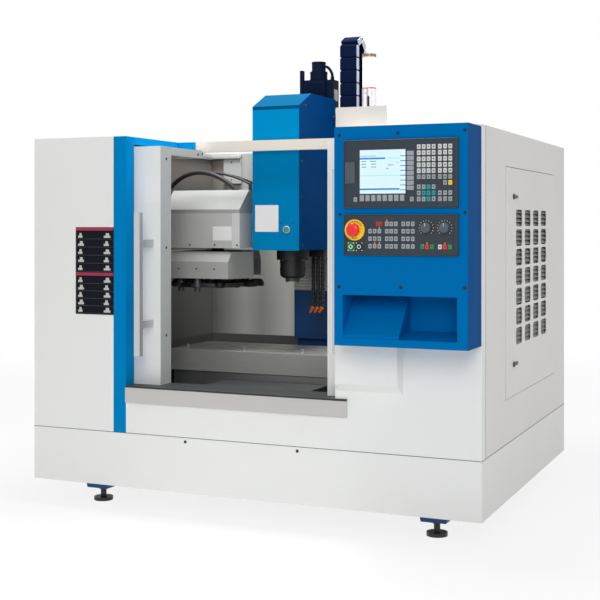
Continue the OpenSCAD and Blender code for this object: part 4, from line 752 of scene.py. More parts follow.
class CENTRE_OT_units(bpy.types.Operator):
    """Adds the frames of the two units, the dials and the button bezels."""

    bl_idname = "centre.units"
    bl_label = "Control units"

    def execute(self, context):
        mesh = bmesh.new()
        for low, high in unit_corners().values():
            edge = 0.0035
            for a, b in (((low.x, low.z), (high.x, low.z + edge)), ((low.x, high.z - edge), (high.x, high.z)),
                         ((low.x, low.z), (low.x + edge, high.z)), ((high.x - edge, low.z), (high.x, high.z))):
                add_box(mesh, (a[0], low.y - 0.002, a[1]), (b[0], low.y, b[1]), 0.0009)
            flap_low, flap_high = (Vector(c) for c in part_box("usb_flap"))
            for x in (low.x + 0.011, high.x - 0.022):
                beside = flap_low.x - 0.01 < x < flap_high.x and low.z < flap_low.z < high.z
                runs = [(low.z + 0.006, flap_low.z - 0.003), (flap_high.z + 0.003, high.z - 0.006)]
                for bottom, upper in runs if beside else [(low.z + 0.006, high.z - 0.006)]:
                    add_box(mesh, (x, low.y - 0.0012, bottom), (x + 0.0012, low.y, upper))
        screen_low, screen_high = (Vector(c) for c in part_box("screen"))
        edge = 0.004
        y = unit_corners()["screen"][0].y
        for a, b in (((screen_low.x - edge, screen_low.z - edge), (screen_high.x + edge, screen_low.z)),
                     ((screen_low.x - edge, screen_high.z), (screen_high.x + edge, screen_high.z + edge)),
                     ((screen_low.x - edge, screen_low.z), (screen_low.x, screen_high.z)),
                     ((screen_high.x, screen_low.z), (screen_high.x + edge, screen_high.z))):
            add_box(mesh, (a[0], y - 0.003, a[1]), (b[0], y, b[1]), 0.001)
        keep("unit_frames", mesh, "unit")
        dials, marks = bmesh.new(), bmesh.new()
        for knob in ("feed_knob", "speed_knob"):
            low, high = (Vector(c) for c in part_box(knob))
            centre = Vector(((low.x + high.x) / 2, y, (low.z + high.z) / 2))
            add_disc(dials, centre, -Y, 0.0345, 0.0004, sides=48)
            for step in range(13):
                turn = math.radians(-135 + step * 22.5)
                way = Vector((math.sin(turn), 0, math.cos(turn)))
                spot = centre + way * 0.0292 - Y * 0.0004
                matrix = Matrix.Translation(spot) @ Matrix.Rotation(turn, 4, "Y") @ Matrix.Diagonal(
                    (0.0016, 0.0006, 0.0045, 1))
                bmesh.ops.create_cube(marks, size=1, matrix=matrix)
        keep("dial_faces", dials, "dial")
        keep("dial_ticks", marks, "mark")
        lens = bmesh.new()
        for button, finish in (("power_on_button", "green"), ("power_off_button", "dial")):
            bezels = bmesh.new()
            low, high = (Vector(c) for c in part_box(button))
            centre = Vector(((low.x + high.x) / 2, y, (low.z + high.z) / 2))
            for a, b in (((-0.0155, -0.0185), (0.0155, -0.0112)), ((-0.0155, 0.0112), (0.0155, 0.0185)),
                         ((-0.0155, -0.0185), (-0.0108, 0.0185)), ((0.0108, -0.0185), (0.0155, 0.0185))):
                add_box(bezels, centre + Vector((a[0], -0.003, a[1])), centre + Vector((b[0], 0, b[1])), 0.001)
            keep(button + "_bezel", bezels, finish)
            add_turned(lens, Vector((centre.x, low.y, centre.z)), -Y,
                       [(-0.0002, 0.0088), (0.0005, 0.0088), (0.0005, 0.0058), (-0.0002, 0.0058)], 28)
            for side in (-1, 1):
                for up in (-1, 1):
                    spot = centre + Vector((side * 0.0118, -0.0031, up * 0.0150))
                    add_box(lens, spot - Vector((0.0022, 0.0003, 0.0016)), spot + Vector((0.0022, 0.0003, 0.0016)))
        keep("button_marks", lens, "mark")
        return {"FINISHED"}


class CENTRE_OT_estop(bpy.types.Operator):
    """Turns the emergency stop's cap and the two override knobs."""

    bl_idname = "centre.estop"
    bl_label = "Stop button and knobs"

    def execute(self, context):
        low, high = (Vector(c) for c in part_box("estop_button"))
        centre = Vector(((low.x + high.x) / 2, low.y, (low.z + high.z) / 2))
        mesh = bmesh.new()
        r = (high.x - low.x) / 2
        depth = high.y - low.y
        add_turned(mesh, centre, Y, [(0, 0), (0.0004, r * 0.55), (0.002, r * 0.82), (0.006, r * 0.96),
                                     (0.011, r), (0.0180, r * 0.97), (0.0200, r * 0.9), (0.0200, r * 0.46),
                                     (0.030, r * 0.40), (depth, r * 0.32), (depth, 0)])
        cap = keep("estop_cap", mesh, "red", "estop_body")
        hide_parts("estop_button")
        ring_low, ring_high = (Vector(c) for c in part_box("estop_ring"))
        middle = Vector(((ring_low.x + ring_high.x) / 2, ring_low.y, (ring_low.z + ring_high.z) / 2))
        mesh = bmesh.new()
        for degrees in (*range(-50, 70, 12), 168, 180, 192):
            turn = math.radians(degrees)
            spot = middle + Vector((math.sin(turn), 0, math.cos(turn))) * 0.0345
            matrix = Matrix.Translation(spot) @ Matrix.Rotation(turn, 4, "Y") @ Matrix.Diagonal(
                (0.0042, 0.0005, 0.0045, 1))
            bmesh.ops.create_cube(mesh, size=1, matrix=matrix)
        keep("stop_ring_marks", mesh, "dark")
        for knob, body in (("feed_knob", "feed_knob_body"), ("speed_knob", "speed_knob_body")):
            low, high = (Vector(c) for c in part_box(knob))
            centre = Vector(((low.x + high.x) / 2, low.y, (low.z + high.z) / 2))
            mesh = bmesh.new()
            add_turned(mesh, centre, Y, [(0.002, 0), (0.002, 0.0170), (0.0035, 0.0190), (0.012, 0.0205),
                                         (0.0185, 0.0220), (0.0200, 0.0218), (0.0200, 0.003),
                                         (0.033, 0.003), (0.033, 0)])
            add_box(mesh, centre + Vector((-0.0045, 0, -0.0195)), centre + Vector((0.0045, 0.012, 0.0195)), 0.0018, 2)
            piece = keep(knob + "_turned", mesh, "slate", body)
            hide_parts(knob)
            mesh = bmesh.new()
            add_box(mesh, centre + Vector((-0.0008, -0.0003, 0.0060)), centre + Vector((0.0008, 0.0004, 0.0185)))
            keep(knob + "_pointer", mesh, "mark", body)
        return {"FINISHED"}


class CENTRE_OT_screws(bpy.types.Operator):
    """Sets the screws of the sheets, doors and covers."""

    bl_idname = "centre.screws"
    bl_label = "Panel screws"

    def execute(self, context):
        r = context.scene.centre_sizes.screw
        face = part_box("operator_cabinet")[0][1]
        spots = [(1653, 1709), (1906, 1712), (2184, 1715), (1655, 1384), (2184, 1390), (1651, 1087),
                 (1918, 1091), (2183, 1094)]
        places = []
        for x, z in spots:
            place = at(x, 0, z)
            place.y = face
            places.append(place)
        screws("cabinet_screws", places, -Y, r)
        screws("tray_screws", [at(x, 0, 357) for x in (825, 1379)], -Y, r)
        for name, corner, way in (("left_door", 1, X), ("right_door", 0, -X)):
            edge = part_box(name)[corner][0]
            mesh = bmesh.new()
            for z in (1.650, 1.234, 0.823):
                add_disc(mesh, (edge, at(0, 128, 0).y, z), way, r, 0.0012, r * 0.9, 16)
            if name == "left_door":
                for y, z in ((440, 1687), (484, 1693)):
                    add_disc(mesh, (edge, at(0, y, 0).y, z / 1000), way, r, 0.0012, r * 0.9, 16)
            keep(name + "_screws", mesh, "black", name + "_body")
        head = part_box("head_cover")
        sides = [(640, 1925), (592, 1650), (592, 1476), (600, 1240), (1010, 1900), (1010, 1560), (1010, 1240)]
        right = [Vector((head[1][0], at(0, y, 0).y, z / 1000)) for y, z in sides]
        left = [Vector((head[0][0], at(0, y, 0).y, z / 1000)) for y, z in sides]
        screws("head_screws_right", right, X, r, "head_body")
        screws("head_screws_left", left, -X, r, "head_body")
        return {"FINISHED"}


class CENTRE_OT_board(bpy.types.Operator):
    """Adds a plain notice board with bands and simple shapes."""

    bl_idname = "centre.board"
    bl_label = "Notice board"

    def execute(self, context):
        board, bands, shapes, lines = bmesh.new(), bmesh.new(), bmesh.new(), bmesh.new()
        add_box(board, at(236, -1.2, 920), at(445, 0, 1330), 0.0005)
        for top, pitch in ((1330, 38), (1118, 35)):
            add_box(bands, at(238, -1.5, top - 16), at(443, -1.1, top - 1))
            for row in range(5):
                z = top - 18 - (row + 1) * pitch
                add_box(lines, at(240, -1.3, z), at(441, -1.1, z + 1))
                for column, x in enumerate((250, 392)):
                    wide = 24 + (row * 2 + column * 3) % 4 * 4
                    add_box(shapes, at(x, -1.4, z + 6), at(x + wide, -1.1, z + 16))
                    add_box(shapes, at(x + wide * 0.3, -1.4, z + 16), at(x + wide * 0.8, -1.1, z + 28))
        keep("notice_board", board, "navy")
        keep("board_bands", bands, "crimson")
        keep("board_shapes", shapes, "pale")
        keep("board_lines", lines, "slate")
        return {"FINISHED"}


class CENTRE_OT_head(bpy.types.Operator):
    """Adds the blank plate, the oil sight and the flange screws of the head."""

    bl_idname = "centre.head"
    bl_label = "Head details"

    def execute(self, context):
        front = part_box("head_cover")[0][1]
        mesh = bmesh.new()
        low, high = at(908, 0, 1306), at(1034, 0, 1437)
        add_box(mesh, (low.x, front - 0.0012, low.z), (high.x, front, high.z), 0.0006)
        keep("head_plate", mesh, "plate", "head_body")
        centre = at(1077, 0, 1317)
        centre.y = front
        mesh = bmesh.new()
        add_turned(mesh, centre, -Y, [(0, 0.0190), (0.003, 0.0185), (0.0045, 0.0165), (0.0045, 0.0145),
                                      (0.002, 0.0140), (0, 0.0140)])
        keep("sight_ring", mesh, "handle", "head_body")
        mesh = bmesh.new()
        add_turned(mesh, centre, -Y, [(0, 0.0142), (0.0028, 0.0142), (0.0036, 0.0100), (0.0040, 0)])
        keep("sight_glass", mesh, "sight", "head_body")
        spots = [centre + Vector((dx, 0, dz)) for dx in (-0.033, 0.033) for dz in (-0.033, 0.033)]
        screws("sight_screws", spots, -Y, 0.004, "head_body")
        casting_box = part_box("spindle")
        middle = Vector(((casting_box[0][0] + casting_box[1][0]) / 2, (casting_box[0][1] + casting_box[1][1]) / 2, 1.165))
        spots = []
        for step in range(8):
            turn = math.radians(22.5 + step * 45)
            spots.append(middle + Vector((math.cos(turn), math.sin(turn), 0)) * 0.0725)
        screws("flange_screws", spots, -Z, 0.0062, "head_body", "steel")
        mesh = bmesh.new()
        nose = Vector((middle.x, middle.y, 1.085))
        add_turned(mesh, nose, -Z, [(-0.0005, 0.060), (0.006, 0.058), (0.012, 0.050), (0.012, 0.0388),
                                    (-0.0005, 0.0388)], 56)
        add_turned(mesh, nose + Z * 0.028, Z, [(0, 0.0640), (0, 0.0655), (0.003, 0.0662), (0.006, 0.0655),
                                               (0.006, 0.0640)], 56)
        add_turned(mesh, nose + Z * 0.062, Z, [(0, 0.0640), (0, 0.0655), (0.003, 0.0662), (0.006, 0.0655),
                                               (0.006, 0.0640)], 56)
        keep("spindle_rings", mesh, "dark_iron", "head_body")
        return {"FINISHED"}


class CENTRE_OT_motor(bpy.types.Operator):
    """Adds the ribs, the terminal box and the fan cowl of the spindle motor."""

    bl_idname = "centre.motor"
    bl_label = "Spindle motor details"

    def execute(self, context):
        low, high = (Vector(c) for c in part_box("spindle_motor"))
        mesh = bmesh.new()
        width = 0.116
        top = high.z - 0.100
        for step in range(12):
            x = low.x + 0.008 + step * (width - 0.016) / 11
            add_box(mesh, (x - 0.0015, low.y - 0.0035, low.z + 0.02), (x + 0.0015, low.y, top - 0.02))
            add_box(mesh, (x - 0.0015, high.y, low.z + 0.02), (x + 0.0015, high.y + 0.0035, top - 0.02))
        axis_x, axis_y = low.x + width / 2, (low.y + high.y) / 2
        for z, radius in ((top + 0.006, 0.0462), (top + 0.040, 0.0462), (top + 0.092, 0.0372)):
            add_turned(mesh, (axis_x, axis_y, z), Z, [(0, radius - 0.001), (0, radius + 0.0012),
                                                      (0.004, radius + 0.0012), (0.004, radius - 0.001)], 40)
        add_box(mesh, (low.x - 0.026, low.y - 0.004, top - 0.200), (low.x - 0.008, low.y + 0.022, top + 0.052), 0.002)
        add_box(mesh, (low.x - 0.010, low.y + 0.002, top - 0.060), (low.x + 0.002, low.y + 0.016, top - 0.020), 0.001)
        gland = Vector((low.x + width + 0.020, axis_y, top))
        add_disc(mesh, gland, Z, 0.0105, 0.020, 0.009, 20)
        add_tube(mesh, curve(gland + Z * 0.018, gland + Vector((0, 0, 0.060)), gland + Vector((-0.045, -0.01, 0.095)),
                             Vector((axis_x + 0.030, axis_y, top + 0.060)), 24), 0.0075, 12)
        keep("motor_ribs", mesh, "motor", "head_body")
        mesh = bmesh.new()
        x = low.x + width + 0.040
        add_box(mesh, (x, axis_y - 0.024, top - 0.110), (x + 0.0010, axis_y + 0.024, top - 0.050), 0.0004)
        keep("motor_plate", mesh, "pale", "head_body")
        return {"FINISHED"}


class CENTRE_OT_chain(bpy.types.Operator):
    """Builds the links of the drag chain beside the column."""

    bl_idname = "centre.chain"
    bl_label = "Drag chain"

    def execute(self, context):
        links = context.scene.centre_sizes.links
        low, high = (Vector(c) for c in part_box("drag_chain"))
        radius, thick = 0.072, 0.035
        middle_y, middle_z = low.y + radius, high.z - radius
        front_foot, back_foot = 1.746, low.z
        way = [(middle_z - front_foot), math.pi * (radius - thick / 2), (middle_z - back_foot)]
        total = sum(way)
        mesh = bmesh.new()
        for step in range(links):
            run = (step + 0.5) * total / links
            if run < way[0]:
                y, z, turn = low.y + thick / 2, front_foot + run, 0.0
            elif run < way[0] + way[1]:
                turn = (run - way[0]) / (radius - thick / 2)
                y = middle_y - math.cos(turn) * (radius - thick / 2)
                z = middle_z + math.sin(turn) * (radius - thick / 2)
            else:
                y, z, turn = high.y - thick / 2, middle_z - (run - way[0] - way[1]), math.pi
            matrix = Matrix.Translation(((low.x + high.x) / 2, y, z)) @ Matrix.Rotation(-turn, 4, "X")
            half = total / links / 2
            width = high.x - low.x
            for wide, deep, tall in ((width, thick, half * 2 - 0.006), (width - 0.008, thick - 0.006, half * 2 + 0.004)):
                shape = matrix @ Matrix.Diagonal((wide, deep, tall, 1))
                made = bmesh.ops.create_cube(mesh, size=1, matrix=shape)
                edges = list({e for v in made["verts"] for e in v.link_edges})
                bmesh.ops.bevel(mesh, geom=edges, offset=0.0022, segments=1, profile=0.5,
                                affect="EDGES", material=-1)
        piece = keep("chain_links", mesh, "chain", None)
        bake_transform(piece)
        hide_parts("drag_chain")
        return {"FINISHED"}


def folded_cover(name, outline, start, step, folds, depth, inward, finish):
    """A bellows: an outline pushed along in small steps, out and in by turns."""
    mesh = bmesh.new()
    verts = [mesh.verts.new(Vector(p) + Vector(start)) for p in outline]
    edges = [mesh.edges.new(pair) for pair in zip(verts, verts[1:])]
    for fold in range(folds * 2):
        made = bmesh.ops.extrude_edge_only(mesh, edges=edges)["geom"]
        edges = [g for g in made if isinstance(g, bmesh.types.BMEdge)]
        moved = [g for g in made if isinstance(g, bmesh.types.BMVert)]
        bmesh.ops.translate(mesh, vec=Vector(step) / (folds * 2), verts=moved)
        push = depth if fold % 2 else -depth
        for vert in moved:
            vert.co += Vector(inward(vert.co)) * push
    wall = bmesh.ops.solidify(mesh, geom=list(mesh.faces), thickness=0.0012)
    del wall
    return keep(name, mesh, finish, None, sharp=20)


class CENTRE_OT_bellows(bpy.types.Operator):
    """Folds the covers of the lower guides and of the head's guides."""

    bl_idname = "centre.bellows"
    bl_label = "Bellows"

    def execute(self, context):
        sizes = context.scene.centre_sizes
        low, high = (Vector(c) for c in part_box("y_bellows"))
        saddle_low, saddle_high = (Vector(c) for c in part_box("saddle"))
        middle = (low.x + high.x) / 2
        front = at(0, 570.5, 0).y
        back = at(0, 963.5, 0).y
        base = low.z + 0.002
        top = high.z - 0.006

        def inward(place):
            if place.z > top - 0.015:
                side = 0 if abs(place.x - middle) < (high.x - low.x) / 2 - 0.03 else math.copysign(1, middle - place.x)
                return (side * 0.7, 0, -1)
            return (math.copysign(1, middle - place.x), 0, 0)

        outline = [(low.x + 0.003, 0, base), (low.x + 0.003, 0, top), (high.x - 0.003, 0, top),
                   (high.x - 0.003, 0, base)]
        for name, start, end in (("front_bellows", low.y, front), ("rear_bellows", high.y, back)):
            piece = folded_cover(name, outline, (0, start, 0), (0, end - start, 0), sizes.folds,
                                 sizes.fold, inward, "bellows")
            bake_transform(piece)
        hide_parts("y_bellows")
        low, high = (Vector(c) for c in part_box("z_bellows"))
        outline = [(low.x + 0.002, high.y, 0), (low.x + 0.002, low.y + 0.0005, 0),
                   (high.x - 0.002, low.y + 0.0005, 0), (high.x - 0.002, high.y, 0)]
        piece = folded_cover("head_bellows", outline, (0, 0, low.z), (0, 0, high.z - low.z),
                             sizes.folds, 0.0035, lambda place: (0, 1 if place.y < high.y - 0.003 else 0, 0),
                             "pale_bellows")
        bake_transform(piece)
        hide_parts("z_bellows")
        return {"FINISHED"}


class CENTRE_OT_hoses(bpy.types.Operator):
    """Strings the coolant hoses from cups and balls and lays the magazine's cables."""

    bl_idname = "centre.hoses"
    bl_label = "Hoses and cables"

    def execute(self, context):
        low, high = (Vector(c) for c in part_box("coolant_hoses"))
        tip_low, tip_high = (Vector(c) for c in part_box("coolant_nozzles"))
        middle = Vector(((low.x + high.x) / 2, (low.y + high.y) / 2, 0))
        hoses, nozzles = bmesh.new(), bmesh.new()
        block_low = high.z - 0.040
        add_box(hoses, (low.x, low.y, block_low), (high.x, high.y, high.z), 0.003, 2)
        for place in (-1, 0, 1):
            x = middle.x + place * 0.026
            steps = 12
            drop = (block_low - tip_high.z + 0.004) / steps
            for step in range(steps):
                z = block_low - step * drop
                add_turned(hoses, (x, middle.y, z), -Z,
                           [(0, 0.0080), (drop * 0.15, 0.0098), (drop * 0.55, 0.0112), (drop * 0.80, 0.0112),
                            (drop * 0.95, 0.0090), (drop, 0.0080)], 18)
            way = Vector((-0.52, -0.25, -1)).normalized() if place < 1 else Vector((-0.62, -0.2, -1)).normalized()
            add_turned(nozzles, (x, middle.y, block_low - steps * drop + 0.004), way,
                       [(-0.001, 0.0085), (0.004, 0.0108), (0.010, 0.0110), (0.013, 0.0090), (0.030, 0.0058),
                        (0.038, 0.0042), (0.038, 0.0026), (0.020, 0.0026)], 20)
        piece = keep("hose_cups", hoses, "hose", "head_body")
        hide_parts("coolant_hoses")
        piece = keep("hose_tips", nozzles, "orange", "head_body")
        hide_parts("coolant_nozzles")
        self.cables()
        return {"FINISHED"}

    def cables(self):
        """The cables arch from the left guard to the top of the magazine's housing."""
        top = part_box("magazine_housing")[1][2] - 0.006
        left, front = at(0, 0, 0).x, at(0, 0, 0).y

        def spot(x, y, z):
            return Vector((left + x / 1000, front + y / 1000, z / 1000))

        end = spot(694, 800, 0)
        end.z = top
        routes = [(0.013, (spot(212, 827, 1430), spot(330, 800, 1675), spot(560, 785, 1650), end))]
        for number in (0, 1):
            end = spot(770 + number * 12, 790 + number * 30, 1548 + number * 6)
            routes.append((0.006, (spot(410, 812 + number * 14, 1606), spot(500, 800, 1625),
                                   spot(660, 790, 1612), end)))
        for number, (radius, route) in enumerate(routes):
            mesh = bmesh.new()
            add_tube(mesh, curve(*route), radius)
            if number:
                foot = route[3]
                add_disc(mesh, (foot.x, foot.y, top), Z, 0.011, foot.z - top + 0.008, 0.009, 16)
            keep("magazine_cable_%d" % (number + 1), mesh, "hose")
        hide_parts("magazine_hoses")


class CENTRE_OT_magazine(bpy.types.Operator):
    """Adds gripper forks, a blank plate and screws to the tool magazine."""

    bl_idname = "centre.magazine"
    bl_label = "Magazine details"

    def execute(self, context):
        low, high = (Vector(c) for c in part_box("carousel"))
        centre = Vector(((low.x + high.x) / 2, (low.y + high.y) / 2, 0))
        mesh = bmesh.new()
        for step in range(12):
            turn = Matrix.Translation(centre) @ Matrix.Rotation(math.radians(30 * step), 4, "Z")
            for side in (-1, 1):
                shape = turn @ Matrix.Translation((0.206, side * 0.042, 1.0525)) @ Matrix.Rotation(
                    side * 0.10, 4, "Z") @ Matrix.Diagonal((0.052, 0.006, 0.009, 1))
                made = bmesh.ops.create_cube(mesh, size=1, matrix=shape)
                edges = list({e for v in made["verts"] for e in v.link_edges})
                bmesh.ops.bevel(mesh, geom=edges, offset=0.0018, segments=1, profile=0.5,
                                affect="EDGES", material=-1)
            spot = turn @ Vector((0.158, 0, 1.047))
            add_disc(mesh, spot, Z, 0.009, 0.010, 0.008, 16)
        keep("gripper_forks", mesh, "dark_iron", "carousel_body")
        housing_low, housing_high = (Vector(c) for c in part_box("magazine_housing"))
        mesh = bmesh.new()
        place = at(690, 526, 1262)
        add_box(mesh, place + Vector((0, -0.0009, 0)), place + Vector((0.105, 0, 0.070)), 0.0004)
        keep("magazine_plate", mesh, "plate")
        screws("magazine_screws", [at(x, 526, 1240) for x in (420, 560, 700, 824)], -Y, 0.005)
        cover_low, cover_high = (Vector(c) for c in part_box("magazine_cover"))
        x = cover_low.x + 0.165
        screws("cover_screws", [Vector((x + dx, cover_low.y, 1.12)) for dx in (0, 0.10, 0.20)],
               -Y, 0.0045, "magazine_body")
        return {"FINISHED"}


class CENTRE_OT_seals(bpy.types.Operator):
    """Lays the dark seams, gaskets and vent grilles of the enclosure."""

    bl_idname = "centre.seals"
    bl_label = "Seams and seals"

    def execute(self, context):
        mesh = bmesh.new()
        seam = 0.0006
        for x, y, z in ((0, 0, 376),):
            add_box(mesh, at(x, y, z) + Vector((0, -seam, -0.0012)), at(2200, y, z) + Vector((0, 0, 0.0012)))
        add_box(mesh, at(2200, 0, 376) + Vector((0, 0, -0.0012)), at(2200, 1715, 376) + Vector((seam, 0, 0.0012)))
        add_box(mesh, at(0, 0, 376) + Vector((-seam, 0, -0.0012)), at(0, 1715, 376) + Vector((0, 0, 0.0012)))
        add_box(mesh, at(2200, 60, 376) + Vector((0, -0.0008, 0)), at(2200, 60, 1753) + Vector((seam, 0.0008, 0)))
        add_box(mesh, at(0, 60, 376) + Vector((-seam, -0.0008, 0)), at(0, 60, 1753) + Vector((0, 0.0008, 0)))
        add_box(mesh, at(446, 0, 376) + Vector((-0.0008, -seam, 0)), at(446, 0, 1753) + Vector((0.0008, 0, 0)))
        keep("panel_seams", mesh, "dark")
        mesh = bmesh.new()
        add_box(mesh, at(512, -9.5, 588), at(1612, 2, 597), 0.001)
        keep("sill_seal", mesh, "seal")
        for side, body in (("left", "left_door_body"), ("right", "right_door_body")):
            low, high = (Vector(c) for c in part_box(side + "_window"))
            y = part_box(side + "_door")[0][1]
            inset, rim = 0.010, 0.012
            mesh = bmesh.new()
            for a, b in (((low.x + inset, low.z + inset), (high.x - inset, low.z + inset + rim)),
                         ((low.x + inset, high.z - inset - rim), (high.x - inset, high.z - inset)),
                         ((low.x + inset, low.z + inset), (low.x + inset + rim, high.z - inset)),
                         ((high.x - inset - rim, low.z + inset), (high.x - inset, high.z - inset))):
                add_box(mesh, (a[0], y - 0.002, a[1]), (b[0], y + 0.003, b[1]), 0.0012)
            keep(side + "_window_seal", mesh, "seal", body)
        low, high = (Vector(c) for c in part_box("roof_box"))
        mesh = bmesh.new()
        add_box(mesh, (low.x + 0.002, low.y - 0.0015, low.z + 0.0005), (high.x - 0.002, low.y, low.z + 0.012), 0.0005)
        keep("roof_gap", mesh, "seal")
        self.guard_rail()
        self.grilles()
        return {"FINISHED"}

    def guard_rail(self):
        """The rolled rail on top of the left guard with its bracket and two fasteners."""
        mesh = bmesh.new()
        add_box(mesh, at(213, 530, 1716), at(227, 1434, 1746), 0.003, 2)
        add_box(mesh, at(227, 1405, 1720), at(404, 1434, 1744), 0.003, 2)
        add_box(mesh, at(292, 1418, 1576), at(404, 1434, 1742), 0.002)
        keep("guard_rail", mesh, "rail")
        screws("rail_screws", [at(404 - 60, 1418, z) for z in (1600, 1700)], -Y, 0.004)

    def grilles(self):
        """Dark slats behind the vent holes of the two sides."""
        low, high = at(0, 590, 795), at(0, 1252, 1414)
        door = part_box("side_door")[1][0]
        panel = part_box("left_side_panel")[0][0]
        for name, x, way, body in (("side_door_grille", door - 0.0035, -1, "side_door_body"),
                                   ("left_grille", panel + 0.0035, 1, "machine")):
            mesh = bmesh.new()
            for step in range(30):
                z = low.z + step * (high.z - low.z) / 30
                shape = Matrix.Translation((x + way * 0.006, (low.y + high.y) / 2, z + 0.010)) @ Matrix.Rotation(
                    way * 0.6, 4, "Y") @ Matrix.Diagonal((0.0012, high.y - low.y, 0.020, 1))
                bmesh.ops.create_cube(mesh, size=1, matrix=shape)
            keep(name, mesh, "slat", body)


class CENTRE_OT_fittings(bpy.types.Operator):
    """Adds latches, handle ends, lamp rings, table stops and the rear fittings."""

    bl_idname = "centre.fittings"
    bl_label = "Fittings"

    def execute(self, context):
        for latch, body in (("upper_latch", "upper_latch_body"), ("lower_latch", "lower_latch_body")):
            low, high = (Vector(c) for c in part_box(latch))
            z = (low.z + high.z) / 2
            centre = Vector((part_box("side_door")[1][0], low.y + 0.012, z))
            mesh = bmesh.new()
            add_turned(mesh, centre, X, [(0.0003, 0.0118), (0.003, 0.0120), (0.0060, 0.0110), (0.0075, 0.0080), (0.0078, 0)])
            add_box(mesh, centre + Vector((0.0005, 0, -0.0060)), centre + Vector((0.0070, 0.069, 0.0060)), 0.002, 2)
            piece = keep(latch + "_lever", mesh, "black", body)
            mesh = bmesh.new()
            add_turned(mesh, centre, X, [(0.0001, 0.0160), (0.0012, 0.0155), (0.0014, 0.0122), (0.0001, 0.0122)])
            keep(latch + "_rosette", mesh, "handle", "side_door_body")
        mesh = bmesh.new()
        low, high = (Vector(c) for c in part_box("lamp_lens"))
        centre = Vector(((low.x + high.x) / 2, (low.y + high.y) / 2, low.z))
        add_turned(mesh, centre, Z, [(-0.001, 0.0311), (0.001, 0.0318), (0.004, 0.0318), (0.006, 0.0300), (0.006, 0.0288), (-0.001, 0.0288)])
        keep("lamp_ring", mesh, "orange")
        mesh = bmesh.new()
        add_box(mesh, centre + Vector((0.0015, -0.0322, -0.081)), centre + Vector((0.0125, -0.0290, -0.034)), 0.001)
        keep("lamp_slot", mesh, "black")
        mesh = bmesh.new()
        low, high = (Vector(c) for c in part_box("table"))
        for x in (497, 818, 1137):
            foot = at(x, 0, 0)
            foot.y, foot.z = low.y + 0.062, high.z
            add_disc(mesh, foot, Z, 0.0055, 0.004, 0.005, 16)
            path = [foot + Z * 0.002, foot + Z * 0.008]
            for step in range(9):
                turn = math.radians(-90 + step * 32)
                path.append(foot + Vector((math.cos(turn) * 0.006, 0, 0.0145 + math.sin(turn) * 0.006)))
            add_tube(mesh, path, 0.0018, 10)
        keep("table_stops", mesh, "steel", "table_body")
        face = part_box("left_door")[0][1]
        spot = at(566, 0, 1438)
        spot.y = face
        mesh = bmesh.new()
        add_box(mesh, spot - Y * 0.0009, spot + Vector((0.083, 0, 0.127)), 0.0004)
        keep("door_plate", mesh, "plate", "left_door_body")
        mesh = bmesh.new()
        low, high = (Vector(c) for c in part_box("cabinet_door"))
        for row in range(7):
            for column in range(2):
                x = low.x + 0.35 + column * 0.55
                z = low.z + 0.14 + row * 0.028
                add_box(mesh, (x, high.y, z), (x + 0.24, high.y + 0.003, z + 0.012), 0.001)
        keep("rear_louvres", mesh, "side", "cabinet_door_body")
        mesh = bmesh.new()
        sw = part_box("main_switch")
        middle = Vector(((sw[0][0] + sw[1][0]) / 2, high.y, (sw[0][2] + sw[1][2]) / 2))
        add_box(mesh, middle + Vector((-0.033, 0, -0.033)), middle + Vector((0.033, 0.0002, 0.033)), 0.00005)
        keep("switch_plate", mesh, "yellow", "cabinet_door_body")
        return {"FINISHED"}


